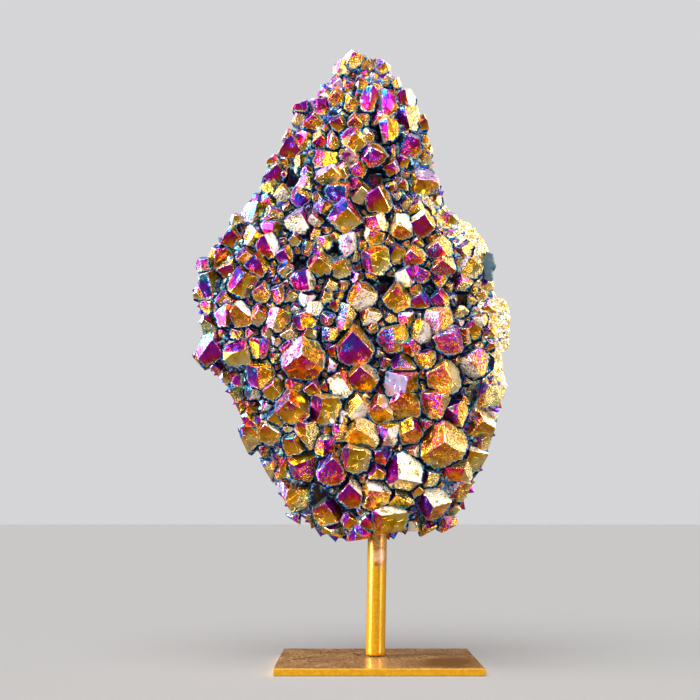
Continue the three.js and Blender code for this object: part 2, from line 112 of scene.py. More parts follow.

# %% [markdown]
# ## Crystals and outline, as read
# A natural growth follows no grid, so scattering points at random would give another druse. The rows below
# were read from an enlarged view, one crystal at a time. A row holds the middle across and down, half the
# width, and how far the point lies from the middle across and down. The outline is the edge of the rock
# that they stand on.

# %% What was read
ROCK_OUTLINE = [
    (368, 67), (381, 73), (399, 103), (411, 115), (422, 152), (426, 172), (441, 203), (453, 218),
    (479, 244), (483, 262), (484, 282), (495, 297), (504, 307), (505, 340), (498, 355), (501, 384),
    (495, 402), (483, 441), (477, 459), (459, 493), (451, 508), (422, 524), (400, 523), (352, 530),
    (330, 525), (295, 503), (287, 488), (268, 452), (257, 434), (241, 397), (232, 380), (206, 352),
    (212, 335), (206, 297), (208, 281), (229, 246), (240, 228), (266, 194), (274, 176), (300, 138),
    (304, 119), (330, 96), (338, 81),
]
CRYSTAL_ROWS = [
    (354, 61, 8, -1, -6), (366, 67, 6, 3, -6), (338, 101, 9, -1, -6), (350, 104, 8, 2, -4),
    (369, 104, 9, 2, -16), (386, 107, 11, -5, -17), (405, 101, 8, 1, -11), (320, 108, 10, -4, -6),
    (313, 123, 9, 0, -6), (408, 121, 12, -6, -9), (389, 132, 10, -1, -11), (289, 150, 11, 4, -10),
    (304, 141, 9, 3, -5), (319, 141, 8, 2, -4), (354, 141, 11, 2, -4), (349, 156, 8, -1, -5),
    (326, 162, 11, -3, -9), (275, 175, 10, 4, -9), (273, 187, 8, -3, -4), (282, 195, 8, 1, -4),
    (328, 175, 11, 4, -3), (343, 171, 8, 0, -3), (301, 197, 9, -4, -3), (338, 193, 11, 9, -4),
    (323, 208, 8, 1, -4), (374, 157, 11, -3, -7), (408, 147, 12, -4, -7), (425, 161, 8, 2, -4),
    (358, 171, 8, -2, -4), (422, 184, 12, -5, 1), (361, 195, 9, -1, -6), (379, 203, 12, 1, -13),
    (345, 217, 14, 6, -5), (253, 213, 10, 7, -9), (273, 216, 8, -1, -5), (228, 238, 10, 5, -6),
    (254, 239, 10, 3, -7), (272, 230, 9, 3, -2), (269, 249, 10, -4, -13), (220, 258, 11, -5, -5),
    (247, 257, 9, 0, -5), (259, 267, 10, -3, -12), (228, 269, 9, 4, -4), (207, 285, 13, 4, -11),
    (243, 284, 13, 2, -10), (285, 257, 8, -1, -5), (262, 293, 9, 0, -7), (277, 294, 8, 2, -5),
    (299, 222, 11, 3, -8), (314, 220, 8, -2, -4), (325, 244, 8, -1, -6), (321, 265, 11, 0, -6),
    (348, 247, 9, 4, -13), (342, 268, 9, 2, -7), (303, 282, 11, 4, -10), (376, 223, 10, -2, -5),
    (374, 238, 9, -3, -5), (403, 228, 11, -7, 1), (421, 225, 12, 2, -8), (416, 210, 8, 1, -5),
    (376, 261, 13, -8, -1), (396, 255, 9, -2, -5), (414, 258, 10, -6, -6), (440, 250, 11, -3, -6),
    (443, 266, 10, -3, -3), (418, 275, 8, 2, -7), (406, 278, 9, -2, -6), (469, 270, 9, 0, -10),
    (462, 284, 8, 1, -3), (208, 324, 8, -4, -4), (225, 318, 9, 2, -12), (242, 317, 11, -6, -9),
    (260, 315, 9, -1, -6), (210, 351, 13, 7, -9), (217, 369, 8, -3, -3), (237, 354, 13, 9, -4),
    (259, 347, 9, 1, -7), (278, 321, 11, 4, -12), (261, 376, 13, -5, -7), (313, 310, 8, -1, -7),
    (305, 322, 10, -3, -6), (347, 312, 8, 0, -8), (290, 334, 8, 1, -5), (307, 335, 8, 0, -4),
    (303, 360, 19, -1, -2), (355, 348, 17, -3, -18), (362, 298, 13, -1, -6), (370, 316, 9, -2, -4),
    (397, 299, 12, 0, -12), (421, 301, 8, -2, -5), (440, 301, 9, -3, -7), (438, 322, 13, 0, -6),
    (422, 332, 10, 1, -7), (394, 339, 13, -2, -10), (410, 348, 8, -2, -3), (426, 360, 9, 0, -6),
    (402, 365, 10, -1, -5), (449, 341, 13, 4, -7), (472, 332, 8, 1, -7), (463, 336, 8, 2, -6),
    (475, 364, 13, -8, -7), (444, 379, 15, -1, -14), (233, 398, 9, -1, -9), (254, 394, 8, -2, -3),
    (251, 408, 8, -1, -6), (274, 390, 10, -1, -6), (249, 421, 9, -3, -5), (250, 437, 10, -6, -2),
    (269, 433, 11, -5, -8), (277, 418, 8, -2, -8), (294, 388, 8, 0, -6), (294, 408, 16, -5, -7),
    (295, 444, 11, -3, -6), (313, 390, 8, 1, -8), (342, 386, 12, -2, -13), (363, 379, 13, -3, -9),
    (325, 410, 15, -4, -10), (358, 408, 13, 4, -7), (308, 434, 12, -1, -9), (340, 433, 8, -1, -8),
    (363, 435, 15, -8, -5), (325, 446, 9, 0, -5), (356, 459, 13, -6, -9), (401, 384, 15, 8, -7),
    (380, 411, 13, -5, -6), (404, 406, 14, -5, -7), (435, 403, 14, 7, -8), (409, 431, 12, 6, -1),
    (388, 434, 11, -2, -4), (443, 446, 20, -1, -2), (454, 413, 12, -3, -5), (382, 455, 8, -1, -4),
    (485, 397, 10, 4, -12), (480, 425, 13, 3, -3), (479, 443, 8, 2, -3), (474, 458, 10, -5, -6),
    (268, 467, 8, -3, -4), (285, 470, 9, 0, -11), (303, 467, 13, -8, -1), (293, 496, 16, -5, -9),
    (331, 471, 13, 3, -15), (329, 513, 12, -4, -11), (352, 495, 12, -4, -14), (376, 495, 14, -8, -6),
    (377, 473, 8, 0, -6), (404, 472, 17, -8, 7), (400, 499, 11, -4, -4), (359, 534, 8, -1, 3),
    (390, 521, 15, -8, -8), (334, 529, 9, -2, 3), (429, 478, 8, -1, -5), (456, 471, 13, 6, -3),
    (457, 488, 10, 1, -5), (433, 503, 14, -3, 6), (416, 523, 8, -2, -3), (338, 86, 7, 2, -5),
    (338, 124, 7, 1, -5), (355, 124, 7, 0, -5), (379, 119, 7, 0, -4), (304, 187, 7, 3, -9),
    (391, 168, 7, 2, -4), (356, 185, 7, 3, -2), (286, 270, 7, 3, -6), (319, 251, 7, -2, -3),
    (306, 299, 7, 1, -3), (344, 323, 7, 2, -3), (329, 334, 7, 1, -5), (480, 321, 7, 2, -4),
    (241, 404, 7, -3, -3), (344, 418, 7, 3, -3), (306, 519, 7, 1, -4), (350, 522, 7, 0, -6),
    (366, 522, 7, -1, -5), (428, 528, 7, 0, 2), (447, 524, 7, 2, 2), (342, 69, 6, 1, -10),
    (382, 67, 6, 2, -3), (387, 81, 5, 0, -5), (395, 83, 5, 2, -4), (393, 94, 5, 1, -3),
    (349, 86, 6, -3, -3), (327, 97, 6, -2, -5), (361, 85, 6, -1, -6), (302, 108, 6, -2, -4),
    (300, 117, 6, -3, -2), (363, 120, 5, 2, -3), (422, 124, 6, 2, -4), (289, 136, 5, -2, -2),
    (333, 143, 6, 0, -7), (368, 137, 6, 2, -2), (300, 161, 6, 1, -4), (287, 163, 6, 0, -2),
    (274, 162, 5, -3, -3), (284, 176, 5, 1, -4), (317, 198, 5, 1, -4), (271, 203, 6, -2, -3),
    (391, 151, 5, 0, -5), (423, 141, 6, 2, -4), (428, 150, 5, 2, -1), (402, 163, 6, 2, -4),
    (403, 186, 5, 0, -4), (407, 204, 6, 0, -4), (236, 220, 5, -2, -4), (240, 241, 5, 0, -6),
    (204, 264, 6, -3, -4), (200, 293, 6, -4, 1), (270, 272, 5, 0, -5), (315, 234, 5, -1, -3),
    (295, 240, 6, -2, -5), (335, 238, 5, -2, -5), (308, 248, 6, -2, -5), (362, 245, 6, -2, -4),
    (331, 286, 6, -1, -5), (356, 257, 5, -1, -5), (430, 212, 5, 0, -5), (417, 243, 5, 0, -3),
    (433, 239, 6, -1, -3), (371, 275, 5, 0, -2), (439, 280, 6, 1, -3), (416, 290, 6, 0, -4),
    (473, 292, 5, 0, -4), (481, 297, 5, 1, -6), (199, 358, 5, -3, 0), (225, 377, 6, -2, 1),
    (237, 335, 6, 0, -4), (268, 331, 6, 0, -4), (242, 364, 5, -2, -5), (275, 358, 5, -1, -4),
    (290, 297, 6, 0, -4), (326, 297, 6, -2, -4), (335, 306, 5, 0, -5), (288, 347, 6, 3, -4),
    (336, 352, 6, -2, -6), (331, 366, 6, 0, -4), (372, 328, 5, 0, -3), (385, 362, 5, -1, -3),
    (454, 301, 5, 0, -5), (461, 312, 6, -1, -4), (471, 301, 5, -2, -4), (487, 332, 6, 2, -3),
    (264, 450, 6, -3, -2), (290, 427, 5, 0, -3), (324, 387, 6, 1, -4), (365, 396, 5, 0, -2),
    (325, 430, 6, -1, -4), (426, 425, 6, -1, -3), (413, 453, 6, 0, -3), (492, 416, 5, 3, -4),
    (463, 401, 6, 0, -4), (294, 518, 6, -2, -1), (417, 491, 6, 1, -4), (452, 509, 6, 2, -3),
]
print(len(CRYSTAL_ROWS), "crystals read")

# %% [markdown]
# ## The shape of a quartz point
# A quartz crystal is a six-sided stem under a point of three large and three small faces. A six-sided cone
# would make all the points alike. Here a crystal is the space inside a set of planes, one for each face,
# and each plane is pushed in or out a little. Some points snapped off, which is one more plane across the
# tip, and more planes bound the crystal where it meets its neighbours. A corner is a place where three
# planes meet and no other plane cuts it off.

# %% The solid inside a set of planes
CORNER_TOLERANCE = 1e-4


def solid_inside(normals, reaches):
    """Corners of the solid that lies behind every plane, and for each plane its corners in turning order."""
    triples = np.array(list(itertools.combinations(range(len(normals)), 3)))
    volumes = np.linalg.det(normals[triples])
    triples = triples[np.abs(volumes) > CORNER_TOLERANCE]
    meetings = np.linalg.solve(normals[triples], reaches[triples][..., None])[..., 0]
    kept = (meetings @ normals.T <= reaches + CORNER_TOLERANCE).all(axis=1)
    corners = []
    for meeting in meetings[kept]:
        if all(np.linalg.norm(meeting - corner) > CORNER_TOLERANCE for corner in corners):
            corners.append(meeting)
    corners = np.array(corners)
    faces = []
    for normal, reach in zip(normals, reaches):
        on_plane = np.flatnonzero(np.abs(corners @ normal - reach) < 2 * CORNER_TOLERANCE)
        if len(on_plane) > 2:
            arms = corners[on_plane] - corners[on_plane].mean(axis=0)
            turns = np.arctan2(arms @ np.cross(normal, arms[0]), arms @ arms[0])
            faces.append(on_plane[np.argsort(turns)])
    return corners, faces


cube_sides = np.vstack([np.eye(3), -np.eye(3)])
print("corners inside six square planes:", len(solid_inside(cube_sides, np.ones(len(cube_sides)))[0]))

# %% Repeatable chance
SEED = 20417
COUNTER_FACTOR = 1664525
COUNTER_SHIFT = 1013904223
COUNTER_WRAP = 2 ** 32
counter = SEED


def chance(low, high):
    """The next number of a repeatable run, the same run that shaped the construction's crystals."""
    global counter
    counter = (counter * COUNTER_FACTOR + COUNTER_SHIFT) % COUNTER_WRAP
    return low + (high - low) * counter / COUNTER_WRAP


# %% Planes of one crystal
CRYSTAL_SIDES = 6
LARGE_FACE_CUT = 0.2
SMALL_FACE_LIFT = 0.4
STEM_ROOT = 9
TIP_ROOM = 0.25
FACETS = range(1, 1 + CRYSTAL_SIDES)
SNAP_TILT = 0.7
SNAP_LOW, SNAP_HIGH = 0.6, 0.85
snap_chance = np.random.default_rng(53)


def unit(arrow):
    return arrow / np.linalg.norm(arrow)


def crystal_planes(base, axis, tip, width, roll, snap_share, bounds):
    """Normals and reaches of the planes: root, sloping facets, upright sides, a snapped tip and bounds."""
    sideways = unit(np.cross([0, 0, 1], axis))
    upward = np.cross(axis, sideways)
    height = axis @ (tip - base)
    planes = [(-axis, STEM_ROOT - axis @ base)]
    sides = []
    for side in range(CRYSTAL_SIDES):
        angle = roll + side * 2 * math.pi / CRYSTAL_SIDES
        outward = sideways * math.cos(angle) + upward * math.sin(angle)
        slope = unit(np.cross(np.cross(axis, outward), tip - base - outward * width))
        cut = -chance(0, LARGE_FACE_CUT) if side % 2 == 0 else chance(0, SMALL_FACE_LIFT)
        planes.append((slope, slope @ tip + width * cut))
        sides.append((outward, outward @ base + width))
    snapped = snap_chance.uniform(0, 1)
    tilt = snap_chance.uniform(0, SNAP_TILT)
    turn = snap_chance.uniform(0, 2 * math.pi)
    if snapped < snap_share:
        aside = sideways * math.cos(turn) + upward * math.sin(turn)
        face = unit(axis + aside * tilt)
        sides.append((face, face @ base + height * snap_chance.uniform(SNAP_LOW, SNAP_HIGH)))
    for toward, room in bounds:
        least = toward @ (tip - base) + TIP_ROOM * width
        sides.append((toward, toward @ base + max(room, least)))
    normals, reaches = zip(*(planes + sides))
    return np.array(normals), np.array(reaches)


# %% [markdown]
# ## Worn edges and marks
# No real edge is perfectly sharp: a narrow chamfer catches the light as a bright line. Each crystal gets
# its chamfers while it is a small mesh of its own. Each facet is then inset once, and cut along the line
# where the crust in the gap begins, so that values stored on the points can change there. We call such
# stored values marks. The finish reads them to know where on a crystal it is:
#
# - rise is the height up the point, ground the distance in millimetres from the nearest gap or foot.
# - edge is 1 at a facet's border and 0 inside it, and aside tells how far up and left in the crystal a
# place lies.
# - film is the facet's film thickness, sugar how much of it is grainy, and one more mark its painted
#   highlight.

# %% One crystal as a small mesh
EDGE_CHAMFER, CHAMFER_SHARE = 0.2, 0.045
BORDER_WIDTH, BORDER_SHARE = 0.75, 0.16
SAME_PLANE = 0.9995
LEAST_EDGE = 0.15
GROWTH_OVERLAP = 1.2
CRUST_WIDTH, CRUST_SHARE = 2.2, 0.35
CLEAR_SHARE = 0.35
FILM_SIDE = unit(np.array([-0.65, -0.1, 0.75]))


def worn_solid(base, axis, width, normals, reaches):
    """The crystal with chamfered edges and inset facets. Faces inside a border are marked in a layer."""
    corners, faces = solid_inside(normals, reaches)
    work = bmesh.new()
    inside = work.faces.layers.int.new("inside")
    made = [work.verts.new(corner) for corner in corners]
    for face in faces:
        work.faces.new([made[number] for number in face])
    bmesh.ops.remove_doubles(work, verts=work.verts, dist=LEAST_EDGE)
    rises = {vert: (np.array(vert.co) - base) @ axis for vert in work.verts}
    worn = [edge for edge in work.edges if min(rises[vert] for vert in edge.verts) > -STEM_ROOT / 2]
    chamfer = min(EDGE_CHAMFER, CHAMFER_SHARE * width)
    bmesh.ops.bevel(work, geom=worn, offset=chamfer, segments=1, affect="EDGES", clamp_overlap=True)
    work.normal_update()
    for face in list(work.faces):
        likeness = normals @ np.array(face.normal)
        plane = int(likeness.argmax())
        if likeness[plane] > SAME_PLANE and plane in FACETS:
            thickness = min(BORDER_WIDTH, BORDER_SHARE * math.sqrt(face.calc_area()))
            bmesh.ops.inset_individual(work, faces=[face], thickness=thickness, use_even_offset=True)
            face[inside] = 1
    return work, inside


def crystal_piece(base, axis, tip, width, planes, wall_count, least_ground, facets):
    """Points, faces and marks of one crystal. Each row of facets holds a facet's film, painted highlight and
    sugar.
    """
    normals, reaches = planes
    height = axis @ (tip - base)
    work, inside = worn_solid(base, axis, width, normals, reaches)
    first_wall = len(normals) - wall_count
    wall_planes = zip(normals[first_wall:], reaches[first_wall:])
    walls = [(toward, room - GROWTH_OVERLAP / 2) for toward, room in wall_planes]
    foot, upright = Vector(base), Vector(axis)
    for toward, room in walls:
        line = toward * (room - min(CRUST_WIDTH, CRUST_SHARE * width))
        shown = [face for face in work.faces if max((vert.co - foot).dot(upright) for vert in face.verts) > 0]
        edges = {edge for face in shown for edge in face.edges}
        corners = {vert for face in shown for vert in face.verts}
        cut = [*corners, *edges, *shown]
        bmesh.ops.bisect_plane(work, geom=cut, dist=LEAST_EDGE, plane_co=line, plane_no=toward)
    work.normal_update()
    work.verts.index_update()
    places = np.array([vert.co for vert in work.verts])
    heights = (places - base) @ axis
    clear = np.maximum(0, heights - CLEAR_SHARE * height)
    grounds = np.min([heights] + [room - places @ toward + clear for toward, room in walls], axis=0)
    sides = [(int((normals @ np.array(face.normal)).argmax()) - 1) % CRYSTAL_SIDES for face in work.faces]
    films, painted_highlights, sugars = facets[sides].T
    piece = {
        "points": places.tolist(),
        "faces": [[vert.index for vert in face.verts] for face in work.faces],
        "rise": (heights / height).tolist(),
        "ground": np.maximum(grounds, least_ground).tolist(),
        "edge": [0.0 if any(face[inside] for face in vert.link_faces) else 1.0 for vert in work.verts],
        "aside": ((places - base) @ FILM_SIDE / width).tolist(),
        "film": films.tolist(),
        "painted_highlight": painted_highlights.tolist(),
        "sugar": sugars.tolist(),
    }
    work.free()
    return piece


# %% Joining small meshes
POINT_MARKS = ("rise", "ground", "edge", "aside")
FACE_MARKS = ("film", "painted_highlight", "sugar")


def joined_mesh(name, pieces):
    """One mesh of many small ones, in metres, with their marks as attributes."""
    points, faces = [], []
    marks = {mark: [] for mark in POINT_MARKS + FACE_MARKS}
    for piece in pieces:
        start = len(points)
        points += piece["points"]
        faces += [[start + number for number in face] for face in piece["faces"]]
        for mark, values in marks.items():
            values += piece[mark]
    mesh = bpy.data.meshes.new(name)
    mesh.from_pydata([tuple(MM * value for value in point) for point in points], [], faces)
    for mark, values in marks.items():
        domain = "POINT" if mark in POINT_MARKS else "FACE"
        mesh.attributes.new(mark, "FLOAT", domain).data.foreach_set("value", values)
    return mesh


def linked_object(name, data):
    made = bpy.data.objects.new(name, data)
    scene.collection.objects.link(made)
    return made


# %% [markdown]
# ## Seats for the crystals
# A row's half width gives the crystal its size and the point's offset gives it its lean. The rock's front
# falls away towards its edge, so the base of a crystal near the edge stands further back. What was read
# leaves small bare spots, and a real druse leaves few, so the largest bare spot gets a small crystal, then
# the next, until none is wide enough. The dark holes and the bare right rim of the real druse stay open.

# %% Depth of the rock's front
ROCK_FRONT = -3
EDGE_FALL, EDGE_FALL_WIDTH = 12, 34
outline_places = np.array([sight_point(across, down, 0) for across, down in ROCK_OUTLINE])


def way_to_outline(place):
    """Shortest way, in millimetres, from a place at depth 0 to the rock's outline."""
    sides = np.roll(outline_places, -1, axis=0) - outline_places
    shares = np.clip(((place - outline_places) * sides).sum(axis=1) / (sides ** 2).sum(axis=1), 0, 1)
    ways = outline_places + shares[:, None] * sides - place
    return ways[np.linalg.norm(ways, axis=1).argmin()]


def front_depth(place):
    inset = min(np.linalg.norm(way_to_outline(place)) / EDGE_FALL_WIDTH, 1)
    return ROCK_FRONT + EDGE_FALL * (1 - inset) ** 2


print("front depth in the middle:", front_depth(sight_point(PICTURE_MIDDLE, PICTURE_MIDDLE, 0)))

# %% Seats that were read
SIDE_FILL = 1.18


def read_seat(across, down, half_width, point_across, point_down):
    """Place at depth 0, half width and lean of one row, in millimetres."""
    scale = picture_scale(across, down)
    lean = np.array([point_across, 0, -point_down]) * scale
    return sight_point(across, down, 0), half_width * scale * SIDE_FILL, lean


seats = [read_seat(*row) for row in CRYSTAL_ROWS]
read_count = len(seats)
print("seats read:", read_count)

# %% Seats that fill bare spots
FILL_STEP = 1.1
FILL_LEAST, FILL_MOST = 1.5, 4.5
FILL_LEAN = 0.5
DARK_HOLES = [
    (375, 178, 13), (290, 178, 12), (382, 133, 11), (318, 495, 13), (470, 395, 11), (463, 300, 12),
    (385, 287, 11), (335, 250, 8), (298, 265, 9), (430, 292, 7),
]
BARE_RIM = [
    (426, 188), (441, 208), (449, 222), (453, 238), (464, 250), (476, 264), (484, 280), (488, 300),
    (488, 345), (490, 390), (520, 405), (530, 188),
]
fill_chance = np.random.default_rng(29)


def inside_loop(places, loop):
    """Which places lie inside a closed loop, found by counting the sides crossed on the way right."""
    crossed = np.zeros(len(places), bool)
    for start, end in zip(loop, np.roll(loop, -1, axis=0)):
        between = (start[2] > places[:, 2]) != (end[2] > places[:, 2])
        share = (places[:, 2] - start[2]) / (end[2] - start[2] + TINY)
        crossed ^= between & (places[:, 0] < start[0] + share * (end[0] - start[0]))
    return crossed


def room_around(places, middle, width):
    """Distance in the picture plane from each place to the border of a round seat or hole."""
    return np.hypot(*(places - middle)[:, [0, 2]].T) - width


low, high = outline_places.min(axis=0), outline_places.max(axis=0)
spots = np.array([
    (across, 0, up)
    for across in np.arange(low[0], high[0], FILL_STEP) for up in np.arange(low[2], high[2], FILL_STEP)
])
spots += fill_chance.uniform(-FILL_STEP / 3, FILL_STEP / 3, spots.shape) * (1, 0, 1)
bare_rim = np.array([sight_point(across, down, 0) for across, down in BARE_RIM])
spots = spots[inside_loop(spots, outline_places) & ~inside_loop(spots, bare_rim)]
holes = [
    (sight_point(across, down, 0), radius * picture_scale(across, down))
    for across, down, radius in DARK_HOLES
]
taken = [(place, width) for place, width, _ in seats] + holes
room = np.min([room_around(spots, place, width) for place, width in taken], axis=0)
while room.max() > FILL_LEAST:
    spot = spots[int(room.argmax())]
    width = min(room.max(), FILL_MOST)
    lean = fill_chance.uniform(-FILL_LEAN, FILL_LEAN, 3) * (1, 0, 1) + (0, 0, FILL_LEAN / 2)
    seats.append((spot, width, lean * width))
    room = np.minimum(room, room_around(spots, spot, width))
print("bare spots filled:", len(seats) - read_count)

# %% [markdown]
# ## Room between neighbours
# Crystals in a druse grow until they meet. So each one is bounded by upright planes between it and its
# neighbours, nearer to the smaller of the two. The planes stand a little past the middle, so that
# neighbours run into each other and leave no slit. The dark holes count as neighbours too, which keeps them
# open. At the edge of the rock a crystal may reach a few millimetres past it.

# %% Bounds of each crystal
LEAST_ROOM = 0.5
NEIGHBOUR_REACH = 2.6
RIM_REACH = 4
HOLE_SHARE = 0.8
seat_places = np.array([place for place, _, _ in seats])
near_places = np.vstack([seat_places, [place for place, _ in holes]])
near_widths = np.array([width for _, width, _ in seats] + [HOLE_SHARE * width for _, width in holes])


def growth_bounds(number):
    """Pairs of direction and room, in millimetres, from a crystal towards each neighbour."""
    width = near_widths[number]
    ways = (near_places - near_places[number]) * (1, 0, 1)
    distances = np.linalg.norm(ways, axis=1)
    reach = NEIGHBOUR_REACH * np.maximum(width, near_widths)
    bounds = []
    for other in np.flatnonzero((distances > 0) & (distances < reach)):
        distance = distances[other]
        room = (distance ** 2 + width ** 2 - near_widths[other] ** 2) / (2 * distance) + GROWTH_OVERLAP / 2
        bounds.append((ways[other] / distance, max(room, LEAST_ROOM * width)))
    return bounds


def rim_bound(number):
    """Direction and room from a crystal towards the rock's edge, which it may pass by a little."""
    place = seat_places[number]
    way = way_to_outline(place)
    distance = np.linalg.norm(way)
    inward = 1 if inside_loop(place[None], outline_places)[0] else -1
    return inward * way / distance, inward * distance + RIM_REACH


print("bounds of the first crystal:", len(growth_bounds(0)))

# %% [markdown]
# ## Colours of the crystals
# On the real druse the film's colour belongs to the facet: most facets that look up and to the left are
# blue, violet or white, and most that look down and to the right are gold. The white is a painted
# highlight where the facet mirrors a lamp. That rule serves most of the crystals, with some chance in it.
# The ones that the eye knows the druse by were read: a row below holds the crystal's middle, the direction
# in which its first large face looks, in degrees from the right towards the top, and the colours of its
# three large faces, turning the same way. A word stands for a film thickness and a share of painted white
# highlight.

# %% Facets that were read
# A word's second number is the share of painted white highlight on the facet.
FILM_WORDS = {
    "white": (0.06, 0.9), "pale": (0.05, 0.25), "gold": (0.14, 0.0), "amber": (0.27, 0.0),
    "red": (0.43, 0.0), "magenta": (0.54, 0.0), "lilac": (0.6, 0.45), "violet": (0.6, 0.0),
    "blue": (0.77, 0.0), "teal": (0.88, 0.0),
}
SEEN_FACETS = {
    (369, 104): (200, "violet red gold"), (386, 107): (210, "lilac magenta gold"),
    (408, 121): (220, "magenta pale lilac"), (389, 132): (210, "magenta amber gold"),
    (408, 147): (180, "blue magenta lilac"), (374, 157): (290, "magenta gold magenta"),
    (422, 184): (60, "lilac gold amber"), (289, 150): (260, "magenta gold gold"),
    (275, 175): (150, "blue magenta gold"), (282, 195): (270, "white gold gold"),
    (301, 197): (280, "blue gold violet"), (328, 175): (150, "lilac gold white"),
    (338, 193): (225, "blue gold amber"), (345, 217): (150, "violet gold red"),
    (379, 203): (250, "red gold violet"), (253, 213): (200, "blue gold gold"),
    (299, 222): (250, "white magenta lilac"), (228, 238): (150, "blue magenta gold"),
    (254, 239): (170, "white gold lilac"), (269, 249): (240, "red white gold"),
    (220, 258): (80, "violet gold red"), (259, 267): (260, "magenta gold lilac"),
    (285, 257): (250, "violet gold magenta"), (228, 269): (250, "magenta gold pale"),
    (207, 285): (230, "blue gold violet"), (243, 284): (180, "magenta gold amber"),
    (303, 282): (230, "violet white red"), (321, 265): (270, "amber gold red"),
    (348, 247): (230, "lilac white gold"), (376, 223): (230, "red white gold"),
    (374, 238): (60, "gold white amber"), (403, 228): (45, "white pale amber"),
    (421, 225): (260, "red gold white"), (376, 261): (90, "amber magenta gold"),
    (414, 258): (270, "red gold gold"), (440, 250): (250, "magenta gold pale"),
    (443, 266): (270, "red gold amber"), (418, 275): (300, "magenta gold red"),
    (406, 278): (240, "white magenta lilac"), (225, 318): (210, "magenta amber violet"),
    (242, 317): (30, "white pale amber"), (278, 321): (190, "lilac gold pale"),
    (210, 351): (140, "blue magenta red"), (237, 354): (130, "violet gold pale"),
    (259, 347): (90, "magenta amber violet"), (261, 376): (210, "violet amber gold"),
    (303, 360): (270, "red gold lilac"), (355, 348): (270, "violet gold gold"),
    (362, 298): (290, "white gold amber"), (370, 316): (300, "white gold amber"),
    (397, 299): (270, "amber gold gold"), (438, 322): (340, "amber pale lilac"),
    (422, 332): (300, "white gold gold"), (394, 339): (220, "violet gold pale"),
    (342, 386): (250, "white amber magenta"), (363, 379): (270, "red pale gold"),
    (401, 384): (210, "lilac amber red"), (444, 379): (250, "amber pale gold"),
    (435, 403): (220, "red gold amber"), (443, 446): (270, "amber gold amber"),
    (356, 459): (190, "magenta gold pale"), (325, 410): (200, "magenta gold pale"),
    (294, 408): (150, "violet amber gold"), (358, 408): (290, "white gold gold"),
    (269, 433): (40, "white gold amber"), (303, 467): (330, "red gold violet"),
    (331, 471): (270, "magenta gold violet"), (293, 496): (310, "gold amber lilac"),
    (329, 513): (250, "amber red teal"), (352, 495): (270, "magenta white amber"),
    (376, 495): (300, "amber white gold"), (404, 472): (40, "white magenta pale"),
    (390, 521): (80, "white amber gold"), (433, 503): (70, "white magenta gold"),
    (456, 471): (230, "red pale pale"), (480, 425): (280, "amber pale amber"),
    (474, 458): (300, "gold white red"), (388, 434): (330, "white gold magenta"),
    (409, 431): (270, "amber red gold"), (363, 435): (270, "gold pale gold"),
    (404, 406): (270, "amber gold red"), (380, 411): (270, "amber pale amber"),
    (342, 69): (180, "magenta gold gold"), (338, 86): (150, "magenta lilac gold"),
    (349, 86): (60, "magenta gold red"), (320, 108): (330, "magenta gold lilac"),
    (302, 108): (230, "red violet gold"), (313, 123): (270, "red gold magenta"),
    (338, 101): (270, "amber amber gold"), (304, 141): (200, "magenta gold red"),
    (319, 141): (270, "magenta gold pale"), (354, 141): (270, "amber gold magenta"),
    (349, 156): (270, "lilac gold gold"), (326, 162): (200, "red amber gold"),
    (358, 171): (250, "red amber gold"), (338, 124): (250, "red gold magenta"),
    (355, 124): (270, "red gold amber"), (391, 168): (250, "red lilac gold"),
    (422, 124): (270, "red gold amber"), (425, 161): (60, "lilac gold pale"),
}
seen_facets = {
    number: SEEN_FACETS[row[:2]] for number, row in enumerate(CRYSTAL_ROWS) if row[:2] in SEEN_FACETS
}
print(len(seen_facets), "crystals with facets that were read")

# %% Facets of each crystal
FILM_MIDDLE = 0.31
FILM_CRYSTAL_SPREAD, FILM_FACET_SPREAD = 0.1, 0.14
FILM_TURN = 0.34
PAINTED_HIGHLIGHT_SHARE = 0.06
SUGAR_MOST, SEEN_SUGAR_MOST = 0.85, 0.7
SUGAR_RIGHT, SUGAR_START, SUGAR_RUN = 0.5, 20, 35
film_chance = np.random.default_rng(71)


def facet_rows(number, slopes):
    """A row of film, painted highlight and sugar for each of a crystal's facets."""
    crystal_film = film_chance.normal(FILM_MIDDLE, FILM_CRYSTAL_SPREAD)
    facet_films = film_chance.normal(0, FILM_FACET_SPREAD, CRYSTAL_SIDES)
    films = crystal_film + facet_films + FILM_TURN * slopes @ FILM_SIDE
    painted_highlights = film_chance.uniform(0, 1, CRYSTAL_SIDES) < PAINTED_HIGHLIGHT_SHARE
    sugars = film_chance.uniform(0, SUGAR_MOST, CRYSTAL_SIDES)
    sugars += SUGAR_RIGHT * np.clip((seat_places[number][0] - SUGAR_START) / SUGAR_RUN, 0, 1)
    if number in seen_facets:
        large = np.array([FILM_WORDS[word] for word in seen_facets[number][1].split()])
        small = (large + np.roll(large, -1, axis=0)) / 2
        films, painted_highlights = np.stack([large, small], axis=1).reshape(CRYSTAL_SIDES, 2).T
        sugars *= SEEN_SUGAR_MOST / SUGAR_MOST
    return np.column_stack([films, painted_highlights, sugars])


# %% [markdown]
# ## Planting the crystals
# A crystal stands on the rock's front, or a little proud of it when it is wide. Its point goes where it was
# read, and its stem leans less than its point does, which is how crowded crystals grow. The few in front of
# the rod's top stand further forward, because they hide it. Small crystals are swollen a little, because
# they crowd more.

# %% Planting
POINT_RAISE = 0.5
PROUD_SHARE = 0.05
SWELL, SWELL_FALL, WIDE_SEAT = 1.27, 0.17, 6
POINT_STEEPNESS = 1.2
LEAN_SHARE = 0.45
MOST_SKEW = 0.7
SNAP_SHARE = 0.35
ROD_COVER_REACH, ROD_COVER_TOP, ROD_COVER_DEPTH = 14, 82, -3
RIM_GROUND, RIM_SHARE = 0.3, 1.6


